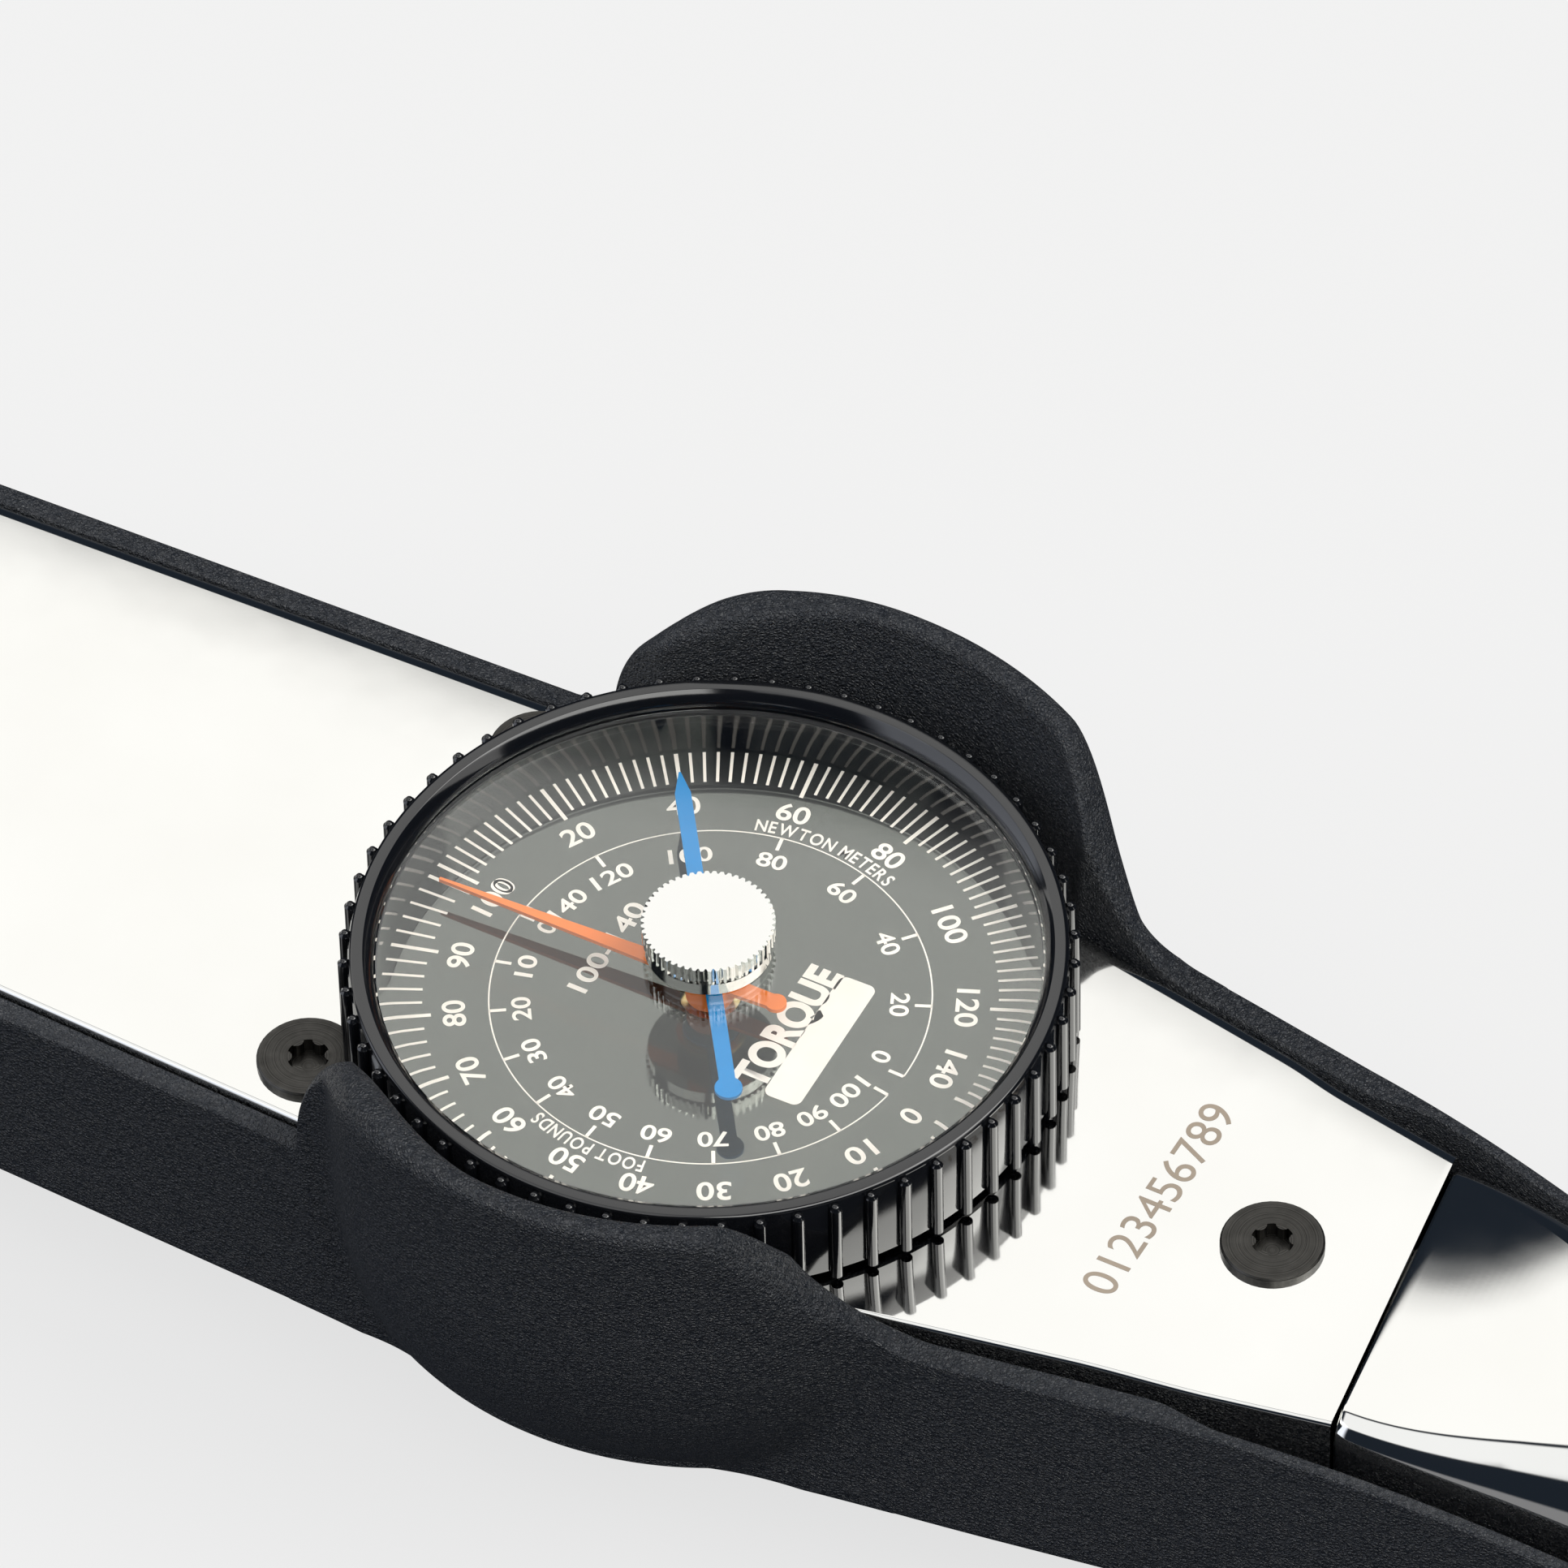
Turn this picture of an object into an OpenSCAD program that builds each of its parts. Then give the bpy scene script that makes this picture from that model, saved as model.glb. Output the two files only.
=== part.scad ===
// Dial torque wrench with a memory pointer.
// +X runs from the square drive towards the handle and +Z is up.
// The origin is on the drive axis, at the shoulder that a socket seats against.

/* [Body] */
// Distance from the drive axis to the dial axis
dial_x = 115; // [114.9:0.1:115.1]
// Height of the top plate above the socket shoulder
plate_z = 28; // [27.5:0.5:29]
// Sheet thickness of the covers
cover_t = 1.2; // [1:0.1:1.5]
// Half width of the covers at the drive axis
head_hw = 29.5; // [28:0.1:31]
// Half width where the front and rear tapers meet
waist_hw = 33.4; // [32:0.1:34]
// Half width at the rear edge of the top plate
rear_hw = 19.6; // [18:0.1:20]
// Distance from the dial axis to the rear edge of the top plate
plate_rear = 79.8; // [76:0.1:82]
// Radius of the covers under the dial
bulge_r = 39.6; // [39:0.1:40]

/* [Drive] */
// Side of the square drive
square_side = 12.7; // [12.5:0.05:12.8]
// Length of the square drive below the shoulder
square_len = 15.5; // [14:0.5:17]
// Radius of the shoulder that the socket seats against
shoulder_r = 13; // [11:0.5:14]
// Largest twist of the drive head each way, in degrees
twist_max = 5.1; // [4:0.1:5.1]

/* [Movement] */
// Gear module
gear_module = 0.4; // [0.4:0.01:0.4]
// Teeth on the pinion
pinion_teeth = 16; // [16:1:16]
// Teeth that a full sector wheel would have
sector_teeth = 559; // [559:1:559]
// Tooth flank angle
flank_angle = 25; // [25:1:25]

/* [Dial] */
// Radius over the bezel between its ribs
bezel_r = 37.6; // [37:0.1:37.8]
// Ribs around the bezel
rib_count = 60; // [40:2:72]
// Height of the bezel's rim above the plate
bezel_h = 12; // [11:0.5:13]
// Radius of the lens
lens_r = 35.1; // [34.5:0.1:35.5]
// Radius of the memory knob
knob_r = 7; // [6:0.1:8]

/* [Handle] */
// Outside radius of the round handle tube
tube_r = 12.5; // [11.5:0.5:12.5]
// Distance from the drive axis to the end of the handle
overall_x = 405; // [380:5:440]
// Outside radius of the grip
grip_r = 16; // [15.5:0.5:17]

/* [Boot] */
// Wall thickness of the boot
boot_t = 2.6; // [2:0.1:3]
// Height of the guard ears above the plate
ear_h = 18.4; // [14:0.2:19]
// Inner radius of the guard ears about the dial axis
ear_in_r = 40.3; // [40:0.1:41]
// Outer radius of the guard ears about the dial axis
ear_out_r = 46.3; // [45:0.1:47]

/* [Hidden] */
$fn = 64;

// Heights of the body's pieces
body_bottom = 3.4;          // underside of the lower cover
cover_split = 15;           // top edge of the lower cover
split_gap = 0.2;
cover_in_z = plate_z - cover_t;
floor_z = body_bottom + cover_t;
bevel = 0.9;                // along the top cover's upper edge
waist_s = 5.4;               // where the two tapers meet, from the dial axis
rear_slant = 0.13;          // slope of the top plate's rear edge
rear_shift = 1.1;           // how far the rear end sits towards +Y

// Gears
pinion_pr = gear_module * pinion_teeth / 2;
sector_pr = gear_module * sector_teeth / 2;
addendum = 0.7 * gear_module;
dedendum = 0.95 * gear_module;
backlash = 0.07;
gear_z = 17.6;              // underside of the sector arm
gear_t = 1.8;
involute_steps = 4;

// Fits
running = 0.05;             // radial clearance of a running fit
gap = 0.1;                  // air between pieces that do not touch

// Radii shared by fasteners
screw_shank_r = 2.55;
small_shank_r = 1.25;
tiny_shank_r = 0.8;
standoff_r = 3.35;
screw_hole_r = 2.8;
spindle_hole_r = 5;

// Drive head and its bushes
upper_bush_z = 20.4;
upper_bush_r = 10.5;
upper_boss_r = 13;
upper_journal_r = 8;
lower_bush_top = 6.6;
lower_bush_r = 16;
lower_boss_r = 18;
head_body_z = 6.8;
head_body_r = 18.6;
square_corner_r = 8.4;
ball_r = 1.9;
ball_out = 0.7;             // how far the ball stands out of the square
ball_y = -(square_side / 2 + ball_out - ball_r);
ball_z = -9;
spring_r = 1.3;
spring_wire_r = 0.22;
spring_turns = 5;

// Sector arm
sector_half_count = 11;
sector_rim = 3;
sector_hub_r = 18.2;
sector_screw_pcr = 15.8;
sector_screw_angles = [60, 120, 240, 300];
arm_narrow_x = 34;
arm_hw = 5;
arm_hole_r = 2.6;
arm_holes = [for (i = [0 : 5]) 38 + 10 * i];
stop_x = 60;
stop_r = 2.2;
stop_y = arm_hw / cos(twist_max) + (stop_x + stop_r) * tan(twist_max) + stop_r + gap;

// Flexure beam and anchor block
beam_x0 = 7;
beam_x1 = 186;
beam_w = 11;
beam_h = 4.8;
beam_z = 8.5;
block_x0 = 160;
block_x1 = dial_x + plate_rear - 2.4;
block_hw = 14;
beam_screw_x = [166, 174];
beam_screw_y = 3.2;

// Movement
spindle_r = 1;
pivot_r = 0.7;
bridge_z = 13.7;
bridge_t = 1.8;
pillar_dx = 4;
pillar_y = 10;
bush_bottom = 22.6;
bush_top = 2.6;
hair_z = 20.8;
hair_h = 1.2;
hair_in_r = 1.5;
hair_out_r = 6.8;
hair_t = 0.16;
hair_turns = 6;
stud_r = 0.7;

// Handle
tube_t = 1.5;
tube_mid_z = 16.4;
tube_sides = 48;
neck_x0 = dial_x + plate_rear + 0.35;
neck_x1 = dial_x + 130;
neck_square = 20;            // length over which the tube's slanted end comes square
tube_end_x = overall_x - 8.1;
flat_half_w = 19.6;
flat_half_h = 11.5;
flat_corner = 3.4;
tongue_len = 28;
tongue_hw = 11;
tongue_z0 = 8;
tongue_z1 = 22;
rivet_r = 2.5;
rivet_x = [dial_x + 88, dial_x + 102];
grip_len = 118;
grip_x0 = tube_end_x - grip_len;
groove_count = 14;
groove_start = 12;
groove_pitch = 6.6;
groove_d = 0.9;

// Boot
bend_s = 64;
lip_drop = 1;
boot_draft = 0.035;
boot_bottom = 2;
boot_end_s = 126;
ear_root_r = 36.5;
ear_depth = 26.5;
ear_lean = 3.2;                // how far the ears' inner face leans outward by its top
ear_taper_s = -14;             // ahead of here the ears' outer radius falls off
ear_taper = 0.022;
wall_levels = 8;
flange_in = 2.2;
head_steps = 24;
end_hw = 15;
end_top = 2.7;
boot_foot = 1.2;
boot_s = concat([for (i = [0 : 7]) -115 + 10.8 * i], [for (i = [0 : 9]) -30.2 + 0.1 * i * i],
    [for (i = [0 : 9]) -19.5 + 5 * i], [for (i = [0 : 7]) 30 + 2.4 * i], [for (i = [0 : 11]) 50 + 6.6 * i]);

// Dial, heights measured from the plate
bezel_foot = 0.95;
rib_circle_r = 38;
rib_r = 0.65;
rib_phase = 0.8;
rib_top = 11.3;
seat_h = 2.7;
seat_r = 35.25;
seat_in_r = 29;
seat_screw_pcr = 32;
seat_screw_angles = [45, 135, 225, 315];
wire_z = 1.6;
wire_r = 0.35;
well_r = 34.6;
dial_z = 2.95;
dial_t = 0.5;
dial_r = 35.15;
dial_hole_r = 3.2;
lens_bottom = 9.2;
lens_top = 11.3;
lens_bevel = 0.8;
gasket_t = 0.3;

// Pointers and knob, heights measured from the plate
pointer_rest = 181.9;
pointer_len = 31.8;
pointer_root = 1.1;
tail_len = 7.7;
tail_hw = 0.9;
hub_r = 2.6;
hub_bottom = 3.8;
hub_top = 6.6;
arm_z = 5.8;
arm_t = 0.5;
memory_rest = 125.5;
memory_z = 7.9;
memory_t = 0.4;
memory_hw = 0.85;
memory_len = 27.3;
memory_tail = 17;
memory_disc_r = 1.45;
memory_tab_r = 12;
memory_tab_h = 1.2;
memory_shaft_r = 1.2;
memory_bush_r = 2.5;
knob_bottom = 11.6;
knob_top = 15.5;
knob_flange_h = 1.5;
flute_count = 54;

// ---------------------------------------------------------------- shapes used more than once

module at_dial() translate([dial_x, 0, 0]) children();

module ring(r_out, r_in, h) {
    difference() {
        cylinder(r = r_out, h = h);
        translate([0, 0, -1]) cylinder(r = r_in, h = h + 2);
    }
}

// The tapering part of the covers' outline, drawn in by inset
// and lengthened by extra past the slanted rear edge
function taper_points(inset, extra) = let (
        near = rear_shift - rear_hw + inset,
        far = rear_shift + rear_hw - inset,
        rear = dial_x + plate_rear + extra)
    [[0, -head_hw + inset], [dial_x + waist_s, -waist_hw + inset], [rear - rear_slant * near, near],
        [rear - rear_slant * far, far], [dial_x + waist_s, waist_hw - inset], [0, head_hw - inset]];

module body_outline(inset, extra) {
    circle(r = head_hw - inset, $fn = 96);
    polygon(taper_points(inset, extra));
    translate([dial_x, 0]) circle(r = bulge_r - inset, $fn = 128);
}

// A solid of the covers' outline between two heights
module body_block(z0, z1, inset, extra) {
    translate([0, 0, z0]) linear_extrude(z1 - z0) body_outline(inset, extra);
}

// The bevelled layer at the top of the covers
module beveled_disc(r) {
    translate([0, 0, plate_z - bevel]) cylinder(r1 = r, r2 = r - bevel, h = bevel, $fn = 128);
}

module beveled_taper() {
    layer = 0.01;
    hull() for (inset = [0, bevel])
        translate([0, 0, plate_z - bevel + inset - layer])
            linear_extrude(layer) polygon(taper_points(inset, 0));
}

// A screw with a low head, standing on z = 0 with its shank below
module low_screw(head_r, head_h, shank_r, shank_len, key_r, key_depth) {
    difference() {
        union() {
            cylinder(r = head_r, h = head_h * 0.7, $fn = 64);
            translate([0, 0, head_h * 0.7])
                cylinder(r1 = head_r, r2 = head_r - head_h * 0.25, h = head_h * 0.3, $fn = 64);
            translate([0, 0, -shank_len]) cylinder(r = shank_r, h = shank_len + 0.1);
        }
        translate([0, 0, head_h - key_depth]) linear_extrude(key_depth + 1) six_lobe(key_r);
    }
}

// Six-lobe recess of a screw head
module six_lobe(r) {
    difference() {
        circle(r = r, $fn = 48);
        for (i = [0 : 5]) rotate(60 * i + 30) translate([r * 1.12, 0]) circle(r = r * 0.36, $fn = 24);
    }
}

// ---------------------------------------------------------------- covers

anchor_spot = [dial_x + 66, 0];
standoff_spots = [[dial_x - 34.4, -24.6], [dial_x - 34.4, 24.6], [-22.6, 0]];
cover_screw_spots = concat([anchor_spot], standoff_spots);

module top_cover() color("gainsboro") {
    difference() {
        union() {
            difference() {
                union() {
                    body_block(cover_split + split_gap, plate_z - bevel, 0, 0);
                    beveled_taper();
                    beveled_disc(head_hw);
                    at_dial() beveled_disc(bulge_r);
                }
                body_block(0, cover_in_z, cover_t, 1);
            }
            translate([0, 0, upper_bush_z]) cylinder(r = upper_boss_r, h = cover_in_z - upper_bush_z + 0.1);
        }
        for (p = cover_screw_spots) translate([p[0], p[1], 0]) cylinder(r = screw_hole_r, h = plate_z + 1);
        at_dial() cylinder(r = spindle_hole_r, h = plate_z + 1);
        translate([0, 0, upper_bush_z - 1]) cylinder(r = upper_bush_r, h = cover_in_z - upper_bush_z + 1);
    }
}

module lower_cover() color("silver") {
    difference() {
        union() {
            difference() {
                body_block(body_bottom, cover_split, 0, 0);
                body_block(floor_z, cover_split + 1, cover_t, 1);
            }
            translate([0, 0, body_bottom]) cylinder(r = lower_boss_r, h = lower_bush_top - body_bottom);
        }
        translate([0, 0, body_bottom - 1]) cylinder(r = lower_bush_r, h = lower_bush_top);
        for (p = cover_screw_spots) translate([p[0], p[1], 0]) cylinder(r = screw_hole_r, h = floor_z + 1);
    }
}

module cover_screws() color("dimgray") {
    for (p = cover_screw_spots) translate([p[0], p[1], plate_z])
        low_screw(5.45, 0.8, screw_shank_r, 6.5, 2.25, 1.6);
}

module lower_cover_screws() color("dimgray") {
    for (p = cover_screw_spots) translate([p[0], p[1], body_bottom]) mirror([0, 0, 1])
        low_screw(3.7, 1.1, screw_shank_r, 4.9, 1.7, 1.5);
}

module standoffs() color("darkgray") {
    for (p = standoff_spots) translate([p[0], p[1], floor_z]) difference() {
        cylinder(r = standoff_r, h = cover_in_z - floor_z);
        translate([0, 0, -1]) cylinder(r = screw_shank_r, h = 9);
        translate([0, 0, cover_in_z - floor_z - 8]) cylinder(r = screw_shank_r, h = 9);
    }
}

// ---------------------------------------------------------------- drive

module drive_head() color("gainsboro") {
    difference() {
        union() {
            square_drive();
            cylinder(r = shoulder_r, h = head_body_z + 0.1);
            translate([0, 0, head_body_z]) cylinder(r = head_body_r, h = gear_z - head_body_z);
            translate([0, 0, gear_z - 0.1]) cylinder(r = upper_journal_r, h = cover_in_z - gear_z - 0.1);
        }
        // Slot for the flexure beam
        translate([beam_x0 - gap, -beam_w / 2 - gap, beam_z - gap])
            cube([head_body_r, beam_w + 2 * gap, beam_h + 2 * gap]);
        for (a = sector_screw_angles) rotate(a) translate([sector_screw_pcr, 0, gear_z - 6])
            cylinder(r = small_shank_r, h = 7);
        translate([0, 0, ball_z]) rotate([90, 0, 0]) cylinder(r = ball_r + running, h = square_side);
    }
}

module square_drive() {
    translate([0, 0, -square_len]) intersection() {
        translate([-square_side / 2, -square_side / 2, 0]) cube([square_side, square_side, square_len + 0.1]);
        union() {
            cylinder(r1 = square_corner_r - 1.4, r2 = square_corner_r, h = 1.6);
            translate([0, 0, 1.6]) cylinder(r = square_corner_r, h = square_len);
        }
    }
}

module detent_ball() color("silver") {
    translate([0, ball_y, ball_z]) sphere(r = ball_r, $fn = 48);
}

module detent_spring() color("silver") {
    translate([0, -gap, ball_z]) rotate([90, 0, 0])
        coil(spring_r, spring_wire_r, spring_turns, -ball_y - ball_r * 0.75 - 2 * gap);
}

// A coil of wire standing on z = 0
module coil(r, wire_r, turns, length) {
    sides = 8;
    steps = 14;
    count = turns * steps;
    rise = (length - 2 * wire_r) / count;
    points = [for (i = [0 : count]) for (j = [0 : sides - 1])
        let (a = 360 * i / steps, b = 360 * j / sides, d = r + wire_r * cos(b))
        [d * cos(a), d * sin(a), wire_r + rise * i + wire_r * sin(b)]];
    polyhedron(points, concat(
        [for (i = [0 : count - 1]) for (j = [0 : sides - 1])
            [i * sides + j, (i + 1) * sides + j, i * sides + (j + 1) % sides]],
        [for (i = [0 : count - 1]) for (j = [0 : sides - 1])
            [(i + 1) * sides + j, (i + 1) * sides + (j + 1) % sides, i * sides + (j + 1) % sides]],
        [[for (j = [0 : sides - 1]) j]],
        [[for (j = [sides - 1 : -1 : 0]) count * sides + j]]));
}

module upper_drive_bush() color("darkgoldenrod") {
    translate([0, 0, upper_bush_z])
        ring(upper_bush_r, upper_journal_r + running, cover_in_z - upper_bush_z);
}

module lower_drive_bush() color("darkgoldenrod") {
    translate([0, 0, body_bottom]) ring(lower_bush_r, shoulder_r + running, lower_bush_top - body_bottom);
}

module stop_pins() color("slategray") {
    for (side = [-1, 1]) translate([stop_x, side * stop_y, floor_z])
        cylinder(r = stop_r, h = gear_z + gear_t - floor_z);
}

// ---------------------------------------------------------------- gears

function involute(r, base_r) = r <= base_r ? 0 : (let (a = acos(base_r / r)) tan(a) * 180 / PI - a);

// Half the angle of a tooth at radius r
function tooth_half(r, pitch_r, teeth) =
    90 / teeth - (backlash / 4) / pitch_r * 180 / PI
    + involute(pitch_r, pitch_r * cos(flank_angle)) - involute(r, pitch_r * cos(flank_angle));

function tooth_points(middle, pitch_r, teeth) = let (
        root_r = pitch_r - dedendum,
        tip_r = pitch_r + addendum,
        radii = [for (i = [0 : involute_steps]) root_r + (tip_r - root_r) * i / involute_steps]) concat(
    [for (r = radii) polar(r, middle - tooth_half(r, pitch_r, teeth))],
    [for (i = [involute_steps : -1 : 0]) polar(radii[i], middle + tooth_half(radii[i], pitch_r, teeth))]);

function polar(r, a) = [r * cos(a), r * sin(a)];

module sector_arm() color("lightsteelblue") {
    pitch = 360 / sector_teeth;
    rim_r = sector_pr - dedendum - sector_rim;
    end_a = (sector_half_count + 0.5) * pitch;
    translate([0, 0, gear_z]) linear_extrude(gear_t) difference() {
        union() {
            circle(r = sector_hub_r);
            polygon([[0, -sector_hub_r * 0.8], [arm_narrow_x, -arm_hw], [rim_r - 6, -arm_hw],
                [rim_r - 6, arm_hw], [arm_narrow_x, arm_hw], [0, sector_hub_r * 0.8]]);
            polygon(concat([[rim_r - 7, arm_hw], [rim_r - 7, -arm_hw], polar(rim_r, -end_a)],
                [for (k = [-sector_half_count : sector_half_count])
                    each tooth_points(k * pitch, sector_pr, sector_teeth)],
                [polar(rim_r, end_a)]));
        }
        circle(r = upper_journal_r + running);
        for (a = sector_screw_angles) rotate(a) translate([sector_screw_pcr, 0]) circle(r = small_shank_r);
        for (x = arm_holes) translate([x, 0]) circle(r = arm_hole_r);
    }
}

module sector_screws() color("dimgray") {
    for (a = sector_screw_angles) rotate(a) translate([sector_screw_pcr, 0, gear_z + gear_t])
        low_screw(2.2, 1.2, small_shank_r, gear_t + 5, 0.9, 1);
}

module pointer_pinion() color("gold") {
    pitch = 360 / pinion_teeth;
    translate([dial_x, 0, gear_z - 0.3]) linear_extrude(gear_t + 0.6) difference() {
        polygon([for (k = [0 : pinion_teeth - 1])
            each tooth_points(180 + (k + 0.5) * pitch, pinion_pr, pinion_teeth)]);
        circle(r = spindle_r, $fn = 32);
    }
}

module pointer_spindle() color("silver") {
    at_dial() {
        translate([0, 0, bridge_z + 0.2]) cylinder(r = pivot_r, h = bridge_t + 0.4, $fn = 32);
        translate([0, 0, bridge_z + bridge_t + 0.2])
            cylinder(r = spindle_r, h = plate_z + hub_top - bridge_z - bridge_t - 0.4, $fn = 32);
    }
}

module spindle_bush() color("gold") {
    at_dial() difference() {
        union() {
            translate([0, 0, bush_bottom]) cylinder(r = spindle_hole_r, h = plate_z + bush_top - bush_bottom);
            translate([0, 0, cover_in_z - 1.2]) cylinder(r = spindle_hole_r + 1.2, h = 1.2);
        }
        cylinder(r = spindle_r + running, h = 2 * plate_z, $fn = 32);
    }
}

module movement_bridge() color("goldenrod") {
    translate([dial_x, 0, bridge_z]) linear_extrude(bridge_t) difference() {
        union() {
            circle(r = 5);
            for (side = [-1, 1]) translate([pillar_dx, side * pillar_y]) circle(r = 3.6);
            polygon([[pillar_dx - 3.3, -pillar_y], [pillar_dx + 3.3, -pillar_y], [4.8, 0],
                [pillar_dx + 3.3, pillar_y], [pillar_dx - 3.3, pillar_y], [-3.4, 0]]);
        }
        circle(r = pivot_r + running, $fn = 32);
        for (side = [-1, 1]) translate([pillar_dx, side * pillar_y]) circle(r = small_shank_r);
    }
}

module bridge_pillars() color("gold") {
    for (side = [-1, 1]) translate([dial_x + pillar_dx, side * pillar_y, bridge_z + bridge_t]) difference() {
        cylinder(r = 2.4, h = cover_in_z - bridge_z - bridge_t);
        translate([0, 0, -1]) cylinder(r = small_shank_r, h = 7);
    }
}

module bridge_screws() color("dimgray") {
    for (side = [-1, 1]) translate([dial_x + pillar_dx, side * pillar_y, bridge_z]) mirror([0, 0, 1])
        low_screw(2.2, 0.9, small_shank_r, bridge_t + 4, 0.9, 1);
}

// Flat spiral whose inner turn surrounds the spindle
module hairspring() color("steelblue") {
    turn_points = 28;
    total = hair_turns * turn_points;
    pitch = (hair_out_r - hair_in_r) / hair_turns;
    mid = [for (i = [0 : total]) [hair_in_r + pitch * i / turn_points, 360 * i / turn_points]];
    translate([dial_x, 0, hair_z]) linear_extrude(hair_h) polygon(concat(
        [for (m = mid) polar(m[0] + hair_t / 2, m[1])],
        [for (i = [total : -1 : 0]) polar(mid[i][0] - hair_t / 2, mid[i][1])]));
}

module hairspring_stud() color("gold") {
    translate([dial_x + hair_out_r + hair_t / 2 + stud_r, 0, hair_z - 0.4])
        cylinder(r = stud_r, h = cover_in_z - hair_z + 0.4, $fn = 32);
}

// ---------------------------------------------------------------- handle end

module flexure_beam() color("steelblue") {
    difference() {
        translate([beam_x0, -beam_w / 2, beam_z]) cube([beam_x1 - beam_x0, beam_w, beam_h]);
        beam_screw_bars(beam_z - 1, beam_h + 2);
    }
}

// The four bars that pin the beam, from z0 up by h
module beam_screw_bars(z0, h) {
    for (x = beam_screw_x) for (side = [-1, 1]) translate([x, side * beam_screw_y, z0])
        cylinder(r = small_shank_r, h = h);
}

module anchor_block() color("slategray") {
    difference() {
        union() {
            translate([block_x0, -block_hw, floor_z])
                cube([block_x1 - block_x0, 2 * block_hw, cover_in_z - floor_z]);
            translate([block_x1 - 0.1, -tongue_hw, tongue_z0])
                cube([tongue_len, 2 * tongue_hw, tongue_z1 - tongue_z0]);
        }
        translate([block_x0 - 1, -beam_w / 2, beam_z]) cube([beam_x1 - block_x0 + 1, beam_w, beam_h]);
        translate([anchor_spot[0], anchor_spot[1], cover_in_z - 9]) cylinder(r = screw_shank_r, h = 10);
        translate([anchor_spot[0], anchor_spot[1], floor_z - 1]) cylinder(r = screw_shank_r, h = 5);
        beam_screw_bars(floor_z - 1, beam_z + beam_h + 4 - floor_z);
        for (x = rivet_x) translate([x, 0, 0]) cylinder(r = rivet_r, h = 30);
    }
}

module beam_screws() color("dimgray") {
    beam_screw_bars(floor_z, beam_z + beam_h + 2 - floor_z);
}

module tube_rivets() color("silver") {
    for (x = rivet_x) {
        half = flat_hh(x) - tube_t - gap;
        translate([x, 0, tube_mid_z - half]) cylinder(r = rivet_r, h = 2 * half);
    }
}

// Half height, half width and corner radius of the handle tube at x
function tube_blend(x) = let (t = min(1, max(0, (x - neck_x0) / (neck_x1 - neck_x0)))) t * t * (3 - 2 * t);
function flat_hh(x) = flat_half_h + (tube_r - flat_half_h) * tube_blend(x);
function flat_hw(x) = flat_half_w + (tube_r - flat_half_w) * tube_blend(x);
function corner_of(x) = flat_corner + (tube_r - flat_corner) * tube_blend(x);

// One ring of the tube's wall, a rounded oblong that turns into a circle
function tube_ring(x, inset) = [for (i = [0 : tube_sides - 1]) let (
        a = 360 * (i + 0.5) / tube_sides,
        c = corner_of(x) - inset,
        sy = cos(a) >= 0 ? 1 : -1,
        sz = sin(a) >= 0 ? 1 : -1,
        c_y = rear_shift * (1 - tube_blend(x)) + sy * (flat_hw(x) - inset - c) + c * cos(a),
        slant = rear_slant * max(0, 1 - (x - neck_x0) / neck_square))
    [x - slant * c_y, c_y, tube_mid_z + sz * (flat_hh(x) - inset - c) + c * sin(a)]];

module handle_tube() color("silver") {
    xs = concat([for (i = [0 : 12]) neck_x0 + (neck_x1 - neck_x0) * i / 12], [tube_end_x]);
    n = tube_sides;
    count = len(xs);
    outer = [for (x = xs) each tube_ring(x, 0)];
    inner = [for (x = xs) each tube_ring(x, tube_t)];
    shift = count * n;
    polyhedron(concat(outer, inner), concat(
        [for (i = [0 : count - 2]) for (j = [0 : n - 1]) each quad(i * n + j, i * n + (j + 1) % n,
            (i + 1) * n + (j + 1) % n, (i + 1) * n + j)],
        [for (i = [0 : count - 2]) for (j = [0 : n - 1]) each quad(shift + (i + 1) * n + j,
            shift + (i + 1) * n + (j + 1) % n, shift + i * n + (j + 1) % n, shift + i * n + j)],
        [for (j = [0 : n - 1]) each quad(shift + j, shift + (j + 1) % n, (j + 1) % n, j)],
        [for (j = [0 : n - 1]) each quad((count - 1) * n + j, (count - 1) * n + (j + 1) % n,
            shift + (count - 1) * n + (j + 1) % n, shift + (count - 1) * n + j)]));
}

function quad(a, b, c, d) = [[a, c, b], [a, d, c]];

module grip() color([0.1, 0.1, 0.11]) {
    translate([grip_x0, 0, tube_mid_z]) rotate([0, 90, 0]) difference() {
        rotate_extrude($fn = 96) polygon(concat(
            [[tube_r + 0.1, 0], [grip_r - 2.5, 0], [grip_r - 1, 2], [grip_r, 6]],
            [for (i = [0 : groove_count - 1]) let (z = groove_start + i * groove_pitch)
                each [[grip_r, z], [grip_r - groove_d, z + 0.8],
                    [grip_r - groove_d, z + 2.2], [grip_r, z + 3]]],
            [[grip_r, grip_len - 8], [grip_r - 0.6, grip_len], [tube_r + 0.1, grip_len]]));
    }
}

module end_cap() color([0.1, 0.1, 0.11]) {
    translate([tube_end_x + 0.1, 0, tube_mid_z]) rotate([0, 90, 0]) rotate_extrude($fn = 96) polygon([
        [0, -12], [tube_r - tube_t - 0.4, -12], [tube_r - tube_t - 0.4, 0], [grip_r - 0.6, 0],
        [grip_r - 0.7, 2.5], [grip_r - 2, 5], [grip_r - 4.6, 7], [grip_r - 8, 8], [0, 8]]);
}

// ---------------------------------------------------------------- boot

// Half width of the covers' wider side at s, measured from the dial axis
function cover_hw(s) = s < waist_s
    ? waist_hw - (waist_hw - head_hw) * (waist_s - s) / (dial_x + waist_s)
    : waist_hw - (waist_hw - rear_hw - rear_shift) * (s - waist_s) / (plate_rear - waist_s);

function smooth(t) = let (u = min(1, max(0, t))) u * u * (3 - 2 * u);
function soft_max(a, b, k) = (a + b + sqrt((a - b) * (a - b) + k * k)) / 2;

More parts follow.
